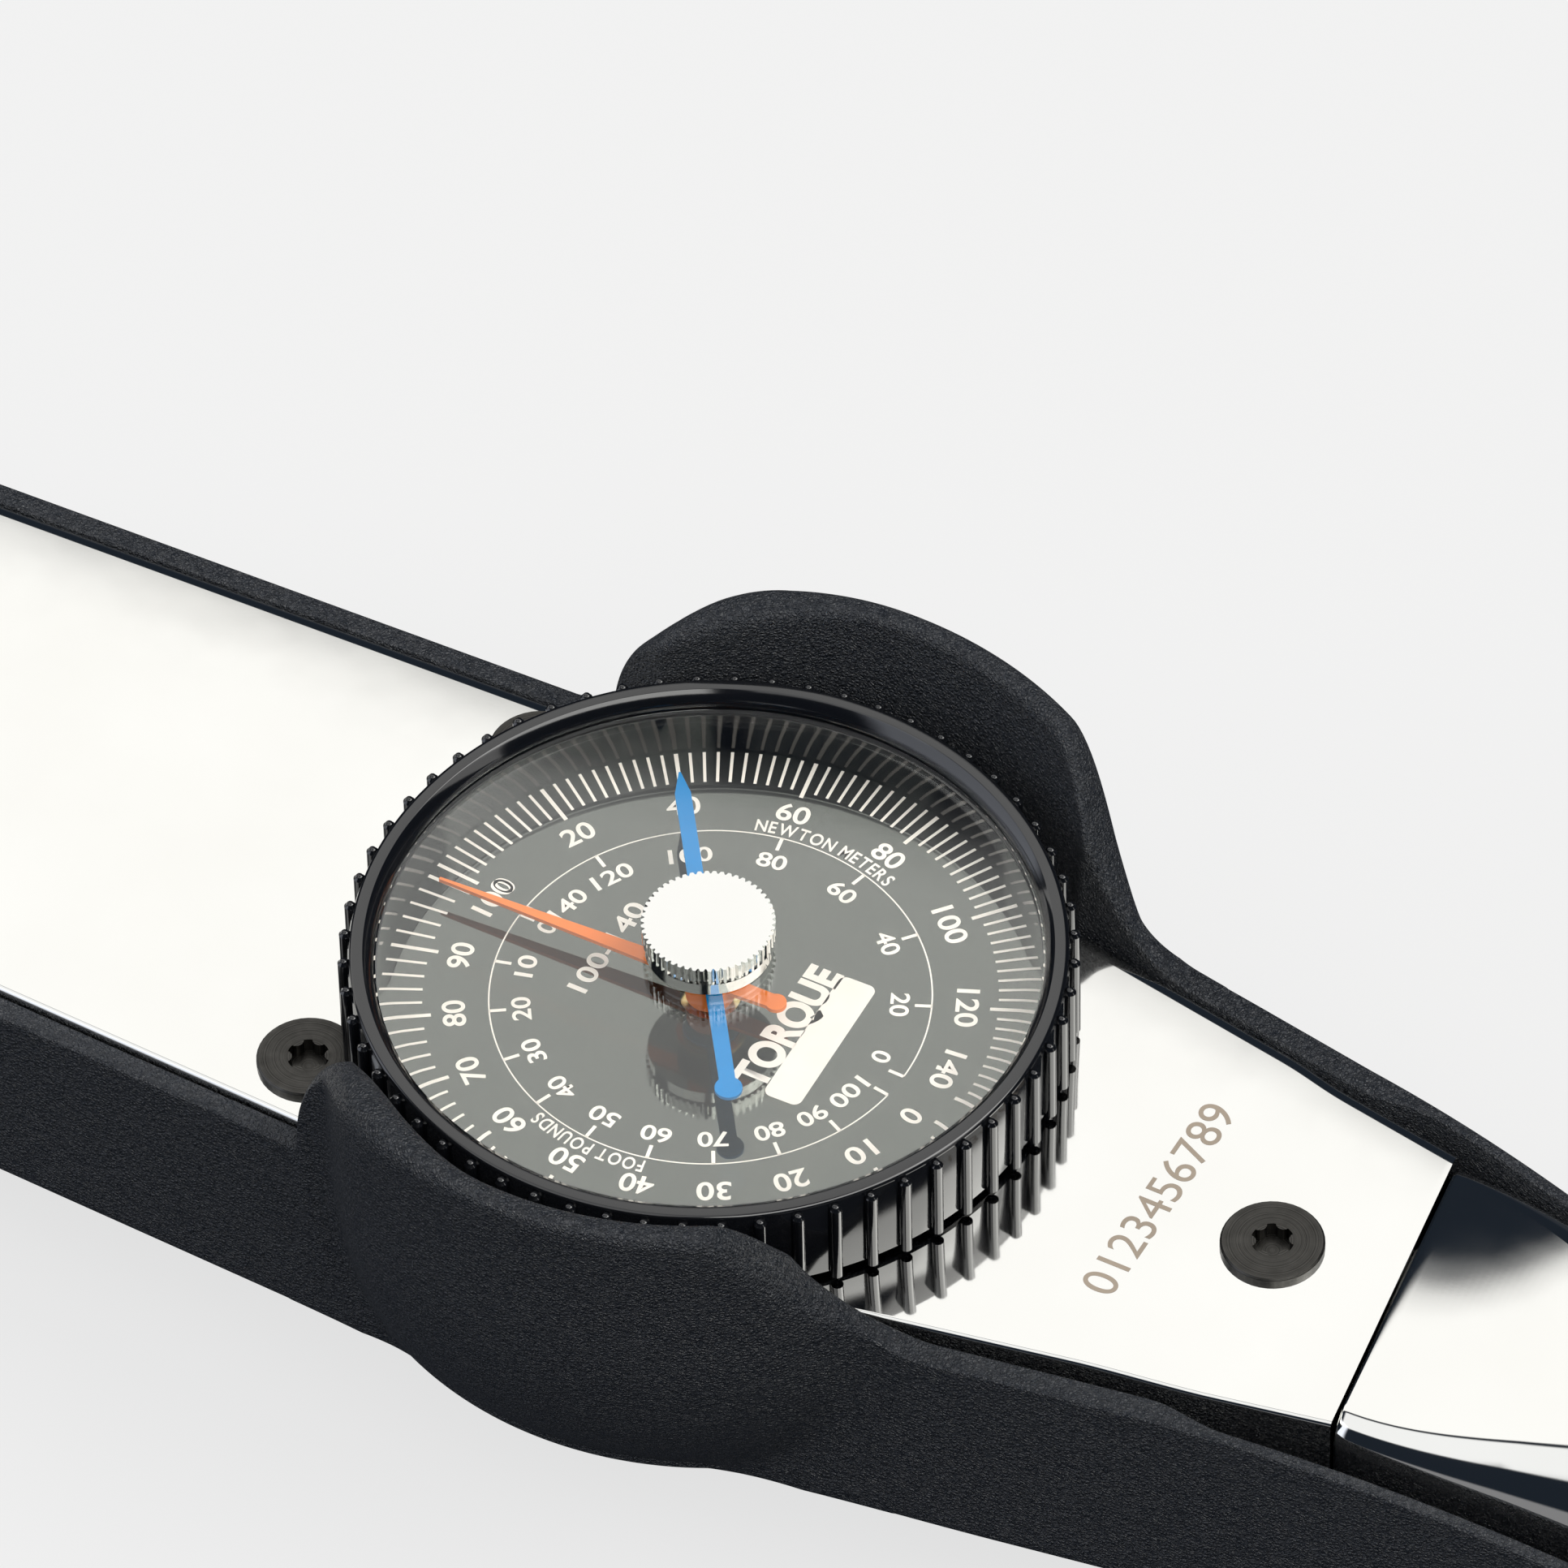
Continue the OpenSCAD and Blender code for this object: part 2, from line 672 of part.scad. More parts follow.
// Plan half width of the boot's plain outer wall
function wall_hw(s) = cover_hw(min(s, bend_s)) + boot_t + 0.05 + 0.45 * smooth((s - 20) / 30)
    - (s > bend_s ? 0.145 * (s - bend_s) + 0.0006 * (s - bend_s) * (s - bend_s) : 0);

// Radius of the ear's outer face at height z below or above the plate
function ear_r(z) = ear_root_r
    + (ear_out_r - ear_root_r) * pow(max(0, 1 - pow(min(0, z) / ear_depth, 2)), 0.6);

function boot_outer(s, z) = let (
        wall = wall_hw(s) + boot_draft * (lip_drop - z),
        r = ear_r(z) - ear_taper * pow(min(0, s - ear_taper_s), 2),
        arc = abs(s) < r - 1 ? sqrt(r * r - s * s) : 0)
    arc <= 0 ? wall : soft_max(wall, arc, 2.4) - max(0, 0.6 - 0.1 * abs(wall - arc));

function boot_inner(s) = max(
    min(s, bend_s) == s ? cover_hw(s) + 0.15 : wall_hw(s) - thin_t(s),
    abs(s) < ear_in_r ? sqrt(ear_in_r * ear_in_r - s * s) : 0);
function thin_t(s) = boot_t + 0.35 - 1.6 * smooth((s - bend_s) / 9);

// Height of the boot's top edge above the plate
function ear_angle(s) = atan2(soft_max(wall_hw(s), abs(s) < 43 ? sqrt(43 * 43 - s * s) : 0, 1), s);
function ear_rise(a) = a > 92
    ? pow(max(0, 1 - pow((a - 92) / 38.4, 4)), 1 / 3)
    : smooth((a - 36) / 25);
function lip_z(s) = let (low = -lip_drop + 0.4 * smooth((s - 20) / 20)
        - (s > bend_s ? 0.0036 * (s - bend_s) * (s - bend_s) : 0))
    low + (ear_h - low) * ear_rise(ear_angle(s));

// One section of the boot: its outer wall, lip, inner wall and the flange under the body
function boot_section(at, dir, top, thick, edge, foot, outer_at, lean = 0) = let (
        top_z = plate_z + top,
        foot_z = boot_bottom + foot,
        flange_z = min(body_bottom - gap, top_z - edge - 0.05),
        lean_z = flange_z + 0.6 * (top_z - edge - flange_z),
        lip_in = outer_at[wall_levels] - thick + lean,
        rise = top_z - edge - foot_z)
    concat(
        [station_point(at, dir, outer_at[0] - foot, boot_bottom)],
        [for (i = [0 : wall_levels]) station_point(at, dir, outer_at[i], foot_z + rise * i / wall_levels)],
        [station_point(at, dir, outer_at[wall_levels] - 0.3 * edge, top_z - 0.3 * edge),
            station_point(at, dir, outer_at[wall_levels] - edge, top_z),
            station_point(at, dir, lip_in + edge, top_z),
            station_point(at, dir, lip_in + 0.3 * edge, top_z - 0.3 * edge),
            station_point(at, dir, lip_in, top_z - edge),
            station_point(at, dir, outer_at[wall_levels] - thick, lean_z),
            station_point(at, dir, outer_at[wall_levels] - thick, flange_z),
            station_point(at, dir, outer_at[wall_levels] - thick - flange_in, flange_z),
            station_point(at, dir, outer_at[wall_levels] - thick - flange_in, boot_bottom)]);

function station_point(at, dir, out, z) = [at[0] + dir[0] * out, at[1] + dir[1] * out, z];

function side_station(s, side) = let (
        top = lip_z(s),
        ear = smooth((top + 1) / 8),
        edge = 0.5 + 1.9 * ear,
        top_z = top - edge,
        low_z = boot_bottom + boot_foot - plate_z,
        outs = [for (i = [0 : wall_levels]) boot_outer(s, low_z + (top_z - low_z) * i / wall_levels)],
        thick = outs[wall_levels] - boot_inner(s),
        lean = ear_lean * smooth((s + 22) / 20) * max(0, top) / ear_h)
    boot_section([dial_x + s, 0], [0, side], top, thick, min(edge, 0.45 * (thick - lean)), boot_foot, outs,
        lean);

function plain_outs(hw) = [for (i = [0 : wall_levels]) hw + boot_draft * 25 * (1 - i / wall_levels)];

function head_station(a) =
    boot_section([0, 0], polar(1, a), -lip_drop, boot_t - gap, 0.5, boot_foot,
        plain_outs(head_hw + boot_t + 0.05));

// The handle end passes under the tube
function end_station(y) = boot_section([dial_x + boot_end_s, y], [1, 0], end_top - plate_z, 1.4, 0.15, 0.3,
    [for (i = [0 : wall_levels]) 0]);

module protective_boot() color([0.12, 0.13, 0.15]) {
    stations = concat(
        [for (s = boot_s) side_station(s, -1)],
        [for (i = [1 : 9]) end_station(end_hw * (-1 + 2 * (i / 10)))],
        [for (i = [len(boot_s) - 1 : -1 : 0]) side_station(boot_s[i], 1)],
        [for (i = [1 : head_steps - 1]) head_station(90 + 180 * i / head_steps)]);
    n = len(stations);
    m = len(stations[0]);
    polyhedron([for (st = stations) each st],
        [for (i = [0 : n - 1]) for (j = [0 : m - 1]) each quad(i * m + j, i * m + (j + 1) % m,
            ((i + 1) % n) * m + (j + 1) % m, ((i + 1) % n) * m + j)], convexity = 12);
}

// ---------------------------------------------------------------- dial

module at_plate(z) translate([dial_x, 0, plate_z + z]) children();

module bezel_seat() color("darkgray") {
    at_plate(0) difference() {
        ring(seat_r, seat_in_r, seat_h);
        translate([0, 0, wire_z - wire_r - 0.05]) ring(seat_r + 1, seat_r - 0.45, 2 * wire_r + 0.1);
        for (a = seat_screw_angles) rotate(a) translate([seat_screw_pcr, 0, -1])
            cylinder(r = tiny_shank_r, h = 5);
        for (a = seat_screw_angles) rotate(a) translate([seat_screw_pcr, 0, seat_h - 0.9])
            cylinder(r = 1.8, h = 5);
    }
}

module seat_screws() color("dimgray") {
    for (a = seat_screw_angles) at_plate(seat_h - 0.9) rotate(a) translate([seat_screw_pcr, 0, 0])
        low_screw(1.7, 0.8, tiny_shank_r, seat_h - 0.9, 0.7, 0.5);
}

module bezel() color([0.08, 0.08, 0.09]) {
    core_r = bezel_r - 0.5;
    at_plate(0) union() {
        rotate_extrude($fn = 160) polygon([
            [seat_r + running, bezel_foot], [core_r, bezel_foot], [core_r, rib_top - 0.1],
            [bezel_r - 0.1, rib_top - 0.1], [bezel_r - 0.25, bezel_h - 0.25], [bezel_r - 0.6, bezel_h],
            [lens_r + 0.2, bezel_h], [lens_r - 0.2, bezel_h - 0.2], [lens_r - 0.2, lens_top + 0.1],
            [lens_r + 0.1, lens_top + 0.05], [lens_r + 0.1, lens_bottom - gasket_t - 0.05],
            [well_r, lens_bottom - gasket_t - 0.05], [well_r, dial_z + dial_t + 0.05],
            [dial_r + 0.1, dial_z + dial_t + 0.05], [dial_r + 0.1, dial_z - 0.05],
            [seat_r + running, dial_z - 0.1],
            [seat_r + running, wire_z + wire_r + 0.05], [seat_r + 0.45, wire_z + wire_r + 0.05],
            [seat_r + 0.45, wire_z - wire_r - 0.05], [seat_r + running, wire_z - wire_r - 0.05]]);
        translate([0, 0, bezel_foot]) linear_extrude(rib_top - bezel_foot) difference() {
            union() {
                circle(r = bezel_r, $fn = 160);
                for (i = [0 : rib_count - 1]) rotate(rib_phase + 360 * i / rib_count)
                    translate([rib_circle_r, 0]) circle(r = rib_r, $fn = 24);
            }
            circle(r = core_r - 0.4, $fn = 160);
        }
    }
}

module bezel_wire() color("silver") {
    at_plate(wire_z) rotate(20) rotate_extrude(angle = 320, $fn = 96)
        translate([seat_r, 0]) circle(r = wire_r, $fn = 24);
}

module lens() color([0.8, 0.9, 0.95, 0.3]) {
    at_plate(0) difference() {
        union() {
            translate([0, 0, lens_bottom])
                cylinder(r = lens_r, h = lens_top - lens_bottom - lens_bevel, $fn = 160);
            translate([0, 0, lens_top - lens_bevel])
                cylinder(r1 = lens_r, r2 = lens_r - lens_bevel, h = lens_bevel, $fn = 160);
        }
        translate([0, 0, lens_bottom - 1]) cylinder(r = memory_bush_r, h = 5);
    }
}

module lens_gasket() color([0.05, 0.05, 0.05]) {
    at_plate(lens_bottom - gasket_t) ring(lens_r, well_r + 0.05, gasket_t);
}

module dial_face() color([0.25, 0.26, 0.24]) {
    at_plate(dial_z) ring(dial_r, dial_hole_r, dial_t);
}

// ---------------------------------------------------------------- pointers and knob

module torque_pointer() color("orange") {
    at_plate(arm_z) {
        difference() {
            union() {
                translate([0, 0, hub_bottom - arm_z]) cylinder(r = hub_r, h = hub_top - hub_bottom);
                rotate(pointer_rest) linear_extrude(arm_t) {
                    polygon([[0, -pointer_root], [pointer_len, -0.15], [pointer_len, 0.15], [0, pointer_root],
                        [-tail_len, tail_hw], [-tail_len, -tail_hw]]);
                    translate([-tail_len, 0]) circle(r = tail_hw * 1.25, $fn = 32);
                }
            }
            translate([0, 0, -9]) cylinder(r = spindle_r, h = 20, $fn = 32);
        }
    }
}

module memory_pointer() color("deepskyblue") {
    at_plate(memory_z) rotate(memory_rest) difference() {
        union() {
            linear_extrude(memory_t) {
                polygon([[0, -memory_hw], [memory_len - 3, -memory_hw], [memory_len, -0.1], [memory_len, 0.1],
                    [memory_len - 3, memory_hw], [0, memory_hw], [-memory_tail, memory_hw],
                    [-memory_tail, -memory_hw]]);
                translate([-memory_tail, 0]) circle(r = memory_disc_r, $fn = 32);
                circle(r = 3);
            }
            // Tab that the torque pointer pushes round
            translate([memory_tab_r, -0.6, -memory_tab_h]) cube([1.2, 1.2, memory_tab_h + 0.1]);
        }
        translate([0, 0, -3]) cylinder(r = memory_shaft_r, h = 9, $fn = 32);
    }
}

module memory_shaft() color("silver") {
    at_plate(memory_z - 0.6) {
        translate([0, 0, 0.6]) cylinder(r = memory_shaft_r, h = knob_top - memory_z - 1, $fn = 32);
        cylinder(r = memory_shaft_r + 1, h = 0.6, $fn = 32);
    }
}

module memory_washer() color("gold") {
    at_plate(memory_z + memory_t) ring(3.1, memory_shaft_r + 0.05, lens_bottom - 0.5 - memory_z - memory_t);
}

module memory_bush() color("gold") {
    at_plate(lens_bottom - 0.5) difference() {
        union() {
            cylinder(r = memory_bush_r + 1.2, h = 0.5);
            cylinder(r = memory_bush_r, h = lens_top - lens_bottom + 0.5);
        }
        translate([0, 0, -1]) cylinder(r = memory_shaft_r + running, h = 6, $fn = 32);
    }
}

module memory_knob() color("silver") {
    at_plate(knob_bottom) difference() {
        union() {
            cylinder(r = knob_r - 0.25, h = knob_flange_h, $fn = 96);
            translate([0, 0, knob_flange_h]) cylinder(r = knob_r - 0.8, h = 0.5, $fn = 96);
            translate([0, 0, knob_flange_h + 0.4])
                fluted(knob_r, knob_top - knob_bottom - knob_flange_h - 0.4);
        }
        translate([0, 0, -1]) cylinder(r = memory_shaft_r, h = knob_top - knob_bottom + 0.4, $fn = 32);
    }
}

// The knob's fluted rim
module fluted(r, h) {
    step = 360 / flute_count;
    linear_extrude(h) polygon([for (i = [0 : flute_count - 1]) each [
        polar(r, step * i - step * 0.2), polar(r, step * i + step * 0.2),
        polar(r - 0.35, step * i + step * 0.42), polar(r - 0.35, step * i + step * 0.58)]]);
}

top_cover();
lower_cover();
protective_boot();
cover_screws();
standoffs();
lower_cover_screws();
handle_tube();
grip();
end_cap();
anchor_block();
tube_rivets();
flexure_beam();
beam_screws();
drive_head();
upper_drive_bush();
lower_drive_bush();
stop_pins();
sector_arm();
sector_screws();
detent_ball();
detent_spring();
pointer_spindle();
pointer_pinion();
torque_pointer();
spindle_bush();
movement_bridge();
bridge_pillars();
bridge_screws();
hairspring();
hairspring_stud();
bezel_seat();
seat_screws();
bezel();
bezel_wire();
lens();
lens_gasket();
dial_face();
memory_bush();
memory_knob();
memory_shaft();
memory_washer();
memory_pointer();
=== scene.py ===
"""Looks of the dial torque wrench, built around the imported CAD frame."""

import math

import bpy
from mathutils import Matrix, Vector


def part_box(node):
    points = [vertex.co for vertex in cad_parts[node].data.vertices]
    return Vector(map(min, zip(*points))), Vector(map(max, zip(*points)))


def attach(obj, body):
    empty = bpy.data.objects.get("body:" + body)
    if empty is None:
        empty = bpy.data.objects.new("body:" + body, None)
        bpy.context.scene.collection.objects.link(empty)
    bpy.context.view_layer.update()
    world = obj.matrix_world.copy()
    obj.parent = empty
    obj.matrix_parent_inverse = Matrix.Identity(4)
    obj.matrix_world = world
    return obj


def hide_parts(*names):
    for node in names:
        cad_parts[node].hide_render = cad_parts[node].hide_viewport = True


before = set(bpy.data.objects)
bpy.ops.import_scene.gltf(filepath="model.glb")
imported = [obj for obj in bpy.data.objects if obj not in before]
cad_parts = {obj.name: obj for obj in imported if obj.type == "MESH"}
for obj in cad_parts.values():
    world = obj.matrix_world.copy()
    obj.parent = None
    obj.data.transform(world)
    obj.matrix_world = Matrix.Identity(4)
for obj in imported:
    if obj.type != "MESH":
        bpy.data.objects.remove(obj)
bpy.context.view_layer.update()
MM = 0.001

# ------------------------------------------------------------ sizes, in millimetres, from the frame
dial_low, dial_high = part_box("dial_face")
DIAL_X = (dial_low.x + dial_high.x) / 2 / MM
PLATE_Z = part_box("bezel_seat")[0].z / MM
DIAL_TOP = dial_high.z / MM
# Positions called s run along X from the dial axis. The near side is -Y, the far side +Y.
HEAD_HW, WAIST_HW, REAR_HW, REAR_SHIFT = 29.5, 33.4, 19.6, 1.1
WAIST_S, PLATE_REAR, REAR_SLANT = 5.4, 79.8, 0.13
BULGE_R, COVER_T, NEAR_ROLL, FAR_ROLL = 39.6, 1.2, 0.6, 2.3
COVER_SPLIT_Z, SCREW_HOLE_R = 15.2, 2.7
BOOT_T, BOOT_BOTTOM, BOOT_FOOT, BOOT_GAP, FLANGE_IN = 2.6, 2.0, 1.2, 0.05, 2.2
EAR_H, EAR_IN_R, EAR_MID_R, EAR_OUT_R = 18.4, 40.3, 43.0, 46.27
EAR_ROOT_R, EAR_DEPTH = 36.5, 26.5
EAR_LEAN, EAR_TAPER_S, EAR_TAPER = 3.2, -14.0, 0.022
EAR_FRONT_A, EAR_FRONT_SPAN, EAR_BACK_A, EAR_BACK_SPAN = 92.0, 38.4, 36.0, 25.0
LIP_DROP, LIP_FALL, BOOT_DRAFT, BEND_S, BOOT_END_S = 1.0, 0.0036, 0.035, 64.0, 126.0
TUBE_MID_Z, TUBE_R, TUBE_T = 16.4, 12.5, 1.5


# ------------------------------------------------------------ meshes

def smooth(t):
    """Eases from 0 to 1 as t goes from 0 to 1."""
    t = min(1.0, max(0.0, t))
    return t * t * (3 - 2 * t)


def soft_max(a, b, k):
    """The larger of two values, blended where they are closer than about k."""
    return (a + b + math.sqrt((a - b) ** 2 + k * k)) / 2


def steps(a, b, n):
    """The n + 1 evenly spaced values from a to b."""
    return [a + (b - a) * i / n for i in range(n + 1)]


def make(name, verts, faces, material, body, replaces=(), sharp=35, scale=MM):
    """A mesh object from points in millimetres, riding on a CAD body."""
    mesh = bpy.data.meshes.new(name)
    mesh.from_pydata([tuple(c * scale for c in v) for v in verts], [], faces)
    mesh.validate()
    mesh.polygons.foreach_set("use_smooth", [True] * len(mesh.polygons))
    if sharp:
        mesh.set_sharp_from_angle(angle=math.radians(sharp))
    mesh.update()
    obj = bpy.data.objects.new(name, mesh)
    bpy.context.scene.collection.objects.link(obj)
    for m in material if isinstance(material, (list, tuple)) else [material]:
        mesh.materials.append(m)
    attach(obj, body)
    if replaces:
        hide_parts(*replaces)
    return obj


def loft(loops, closed_path=False, caps=True):
    """Joins closed loops of equal length into a skin."""
    n, m = len(loops), len(loops[0])
    verts = [p for loop in loops for p in loop]
    faces = []
    for i in range(n if closed_path else n - 1):
        a, b = i * m, (i + 1) % n * m
        for j in range(m):
            k = (j + 1) % m
            faces.append((a + j, a + k, b + k, b + j))
    if caps and not closed_path:
        faces.append(tuple(range(m - 1, -1, -1)))
        faces.append(tuple((n - 1) * m + j for j in range(m)))
    return verts, faces


def revolve(profile, segments, centre=(0.0, 0.0)):
    """A closed profile of (radius, height) turned about the vertical through centre."""
    loops = []
    for i in range(segments):
        a = 2 * math.pi * i / segments
        c, s = math.cos(a), math.sin(a)
        loops.append([(centre[0] + r * c, centre[1] + r * s, z) for r, z in profile])
    return loft(loops, closed_path=True)


def arc(cx, cz, r, a0, a1, n):
    """Points of an arc in a profile, angles in degrees."""
    turns = [math.radians(a) for a in steps(a0, a1, n)]
    return [(cx + r * math.cos(a), cz + r * math.sin(a)) for a in turns]


def merge(*parts):
    """Several (vertices, faces) parts as one."""
    verts, faces = [], []
    for v, f in parts:
        base = len(verts)
        verts.extend(v)
        faces.extend(tuple(i + base for i in face) for face in f)
    return verts, faces


def moved(part, matrix):
    verts, faces = part
    return [tuple(matrix @ Vector(v)) for v in verts], faces


# ------------------------------------------------------------ materials

def shader(name, color, roughness, metallic=0.0, **sockets):
    m = bpy.data.materials.new(name)
    m.use_nodes = True
    bsdf = m.node_tree.nodes["Principled BSDF"]
    bsdf.inputs["Base Color"].default_value = (*color, 1)
    bsdf.inputs["Roughness"].default_value = roughness
    bsdf.inputs["Metallic"].default_value = metallic
    for key, value in sockets.items():
        bsdf.inputs[key.replace("_", " ")].default_value = value
    return m, bsdf


def node(m, kind, **values):
    n = m.node_tree.nodes.new(kind)
    for key, value in values.items():
        if key in n.inputs:
            n.inputs[key].default_value = value
        else:
            setattr(n, key, value)
    return n


def link(m, a, b):
    m.node_tree.links.new(a, b)


def place(m, stretch=(1, 1, 1)):
    """Row-frame coordinates in metres, stretched."""
    coord = node(m, "ShaderNodeTexCoord")
    mapping = node(m, "ShaderNodeMapping")
    mapping.inputs["Scale"].default_value = stretch
    link(m, coord.outputs["Object"], mapping.inputs["Vector"])
    return mapping.outputs["Vector"]


def noise(m, scale, detail=3.0, rough=0.5, stretch=(1, 1, 1), distortion=0.0):
    n = node(m, "ShaderNodeTexNoise")
    n.inputs["Scale"].default_value = scale
    n.inputs["Detail"].default_value = detail
    n.inputs["Roughness"].default_value = rough
    n.inputs["Distortion"].default_value = distortion
    link(m, place(m, stretch), n.inputs["Vector"])
    return n.outputs["Fac"]


def remap(m, value, low, high, out_low, out_high):
    n = node(m, "ShaderNodeMapRange")
    for i, v in ((1, low), (2, high), (3, out_low), (4, out_high)):
        n.inputs[i].default_value = v
    link(m, value, n.inputs[0])
    return n.outputs[0]


def tint(m, bsdf, value, low, high, dark, light):
    """Base colour from dark to light as value goes from low to high."""
    ramp = node(m, "ShaderNodeValToRGB")
    ramp.color_ramp.elements[0].position, ramp.color_ramp.elements[1].position = low, high
    ramp.color_ramp.elements[0].color, ramp.color_ramp.elements[1].color = (*dark, 1), (*light, 1)
    link(m, value, ramp.inputs["Fac"])
    link(m, ramp.outputs["Color"], bsdf.inputs["Base Color"])


def bump(m, bsdf, value, strength, distance):
    n = node(m, "ShaderNodeBump")
    n.inputs["Strength"].default_value = strength
    n.inputs["Distance"].default_value = distance
    link(m, value, n.inputs["Height"])
    link(m, n.outputs["Normal"], bsdf.inputs["Normal"])
    return n


def metal(name, color, rough, spread, grain, grain_depth, stretch=(1, 1, 1)):
    """Bare or plated metal: its roughness varies by spread, and grain sets its surface marks."""
    m, b = shader(name, color, rough, 1.0)
    link(m, remap(m, noise(m, 90, 4), 0.3, 0.7, rough - spread, rough + spread), b.inputs["Roughness"])
    tint(m, b, noise(m, 60, 3), 0.35, 0.65, tuple(c * 0.94 for c in color), color)
    bump(m, b, noise(m, grain, 4, 0.6, stretch), 1.0, grain_depth)
    return m


def add(m, a, b, factor=1.0):
    """The node output a plus factor times b."""
    n = node(m, "ShaderNodeMath", operation="MULTIPLY_ADD")
    n.inputs[1].default_value = factor
    link(m, b, n.inputs[0])
    link(m, a, n.inputs[2])
    return n.outputs[0]


def chrome_material(name, rough, wave):
    """Polished chrome, with faint waves that are wave metres high."""
    m, b = shader(name, (0.70, 0.70, 0.685), rough, 1.0)
    link(m, remap(m, noise(m, 140, 5, 0.6), 0.3, 0.75, rough * 0.7, rough * 1.5), b.inputs["Roughness"])
    tint(m, b, noise(m, 45, 4), 0.3, 0.7, (0.685, 0.683, 0.665), (0.705, 0.705, 0.69))
    height = add(m, noise(m, 70, 2), noise(m, 2600, 3), 0.012)
    bump(m, b, height, 1.0, wave)
    return m


def rubber_material(name):
    """Moulded rubber with a wrinkled leather grain."""
    m, b = shader(name, (0.012, 0.013, 0.016), 0.5)
    cells = node(m, "ShaderNodeTexVoronoi", feature="DISTANCE_TO_EDGE")
    cells.inputs["Scale"].default_value = 2300
    wobble = node(m, "ShaderNodeTexNoise")
    wobble.inputs["Scale"].default_value = 1500
    wobble.inputs["Detail"].default_value = 2
    where = place(m)
    link(m, where, wobble.inputs["Vector"])
    mix = node(m, "ShaderNodeVectorMath", operation="MULTIPLY_ADD")
    mix.inputs[1].default_value = (0.0007, 0.0007, 0.0007)
    link(m, wobble.outputs["Color"], mix.inputs[0])
    link(m, where, mix.inputs[2])
    link(m, mix.outputs[0], cells.inputs["Vector"])
    pebble = remap(m, cells.outputs["Distance"], 0.0, 0.35, 0.0, 1.0)
    height = add(m, add(m, pebble, noise(m, 1100, 4, 0.6), 1.6), noise(m, 260, 3), 1.2)
    bump(m, b, height, 1.0, 0.0002)
    tint(m, b, noise(m, 1200, 4, 0.6), 0.35, 0.7, (0.011, 0.014, 0.020), (0.027, 0.029, 0.034))
    link(m, remap(m, noise(m, 1500, 3), 0.35, 0.7, 0.34, 0.56), b.inputs["Roughness"])
    return m


def plastic_material(name, color, rough, depth=0.00001, scale=900, **sockets):
    """Moulded plastic or flat paint, with a grain that is depth metres deep."""
    m, b = shader(name, color, rough, **sockets)
    link(m, remap(m, noise(m, 260, 4), 0.3, 0.7, rough * 0.8, rough * 1.25), b.inputs["Roughness"])
    tint(m, b, noise(m, 80, 4), 0.35, 0.65, tuple(c * 0.85 for c in color), color)
    bump(m, b, noise(m, scale, 3), 1.0, depth)
    return m


def turned_material(name, centres, color, rough):
    """Dark machined metal with turning rings about each centre."""
    m, b = shader(name, color, rough, 1.0)
    coord = node(m, "ShaderNodeTexCoord")
    nearest = None
    for x, y in centres:
        away = node(m, "ShaderNodeVectorMath", operation="SUBTRACT")
        away.inputs[1].default_value = (x * MM, y * MM, 0)
        link(m, coord.outputs["Object"], away.inputs[0])
        flat = node(m, "ShaderNodeVectorMath", operation="MULTIPLY")
        flat.inputs[1].default_value = (1, 1, 0)
        link(m, away.outputs[0], flat.inputs[0])
        length = node(m, "ShaderNodeVectorMath", operation="LENGTH")
        link(m, flat.outputs[0], length.inputs[0])
        if nearest is None:
            nearest = length.outputs["Value"]
        else:
            least = node(m, "ShaderNodeMath", operation="MINIMUM")
            link(m, nearest, least.inputs[0])
            link(m, length.outputs["Value"], least.inputs[1])
            nearest = least.outputs[0]
    rings = node(m, "ShaderNodeTexNoise", noise_dimensions="1D")
    rings.inputs["Scale"].default_value = 7500
    rings.inputs["Detail"].default_value = 3
    link(m, nearest, rings.inputs["W"])
    height = add(m, rings.outputs["Fac"], noise(m, 2500, 3), 0.25)
    bump(m, b, height, 0.8, 0.000012)
    tone = add(m, rings.outputs["Fac"], noise(m, 500, 4), 0.4)
    tint(m, b, tone, 0.45, 0.95, tuple(c * 0.6 for c in color), tuple(min(1, c * 1.35) for c in color))
    link(m, remap(m, noise(m, 800, 4), 0.3, 0.7, rough * 0.8, rough * 1.3), b.inputs["Roughness"])
    return m


# Centres of the four cover screws
SCREW_SPOTS = [(DIAL_X + 66, 0), (DIAL_X - 34.4, -24.6), (DIAL_X - 34.4, 24.6), (-22.6, 0)]
chrome = chrome_material("polished_chrome", 0.055, 0.00002)
tube_chrome = chrome_material("tube_chrome", 0.05, 0.00002)
knob_chrome = chrome_material("knob_chrome", 0.06, 0.000006)
rubber = rubber_material("black_rubber")
gloss_black = plastic_material("gloss_black", (0.004, 0.0045, 0.006), 0.09, 0.000003, IOR=1.62)
screw_black = turned_material("black_steel", SCREW_SPOTS, (0.062, 0.060, 0.056), 0.36)
steel = metal("steel", (0.56, 0.56, 0.55), 0.28, 0.06, 1400, 0.000006, (1, 6, 6))
plated = metal("plated_steel", (0.62, 0.62, 0.61), 0.24, 0.05, 1100, 0.000006)
spring = metal("spring_steel", (0.30, 0.34, 0.42), 0.25, 0.05, 1200, 0.000004)
drive_steel = metal("drive_steel", (0.66, 0.66, 0.65), 0.20, 0.05, 1600, 0.000006)
bronze = metal("bronze", (0.50, 0.32, 0.16), 0.42, 0.07, 1500, 0.00001)
brass = metal("brass", (0.80, 0.60, 0.27), 0.24, 0.05, 1300, 0.000006)
aluminium = metal("aluminium", (0.62, 0.62, 0.63), 0.33, 0.05, 1500, 0.000006)
grip_rubber = plastic_material("grip_rubber", (0.016, 0.016, 0.018), 0.58, 0.00004, 1400)
cap_plastic = plastic_material("black_plastic", (0.015, 0.015, 0.016), 0.42, 0.00002, 1200)
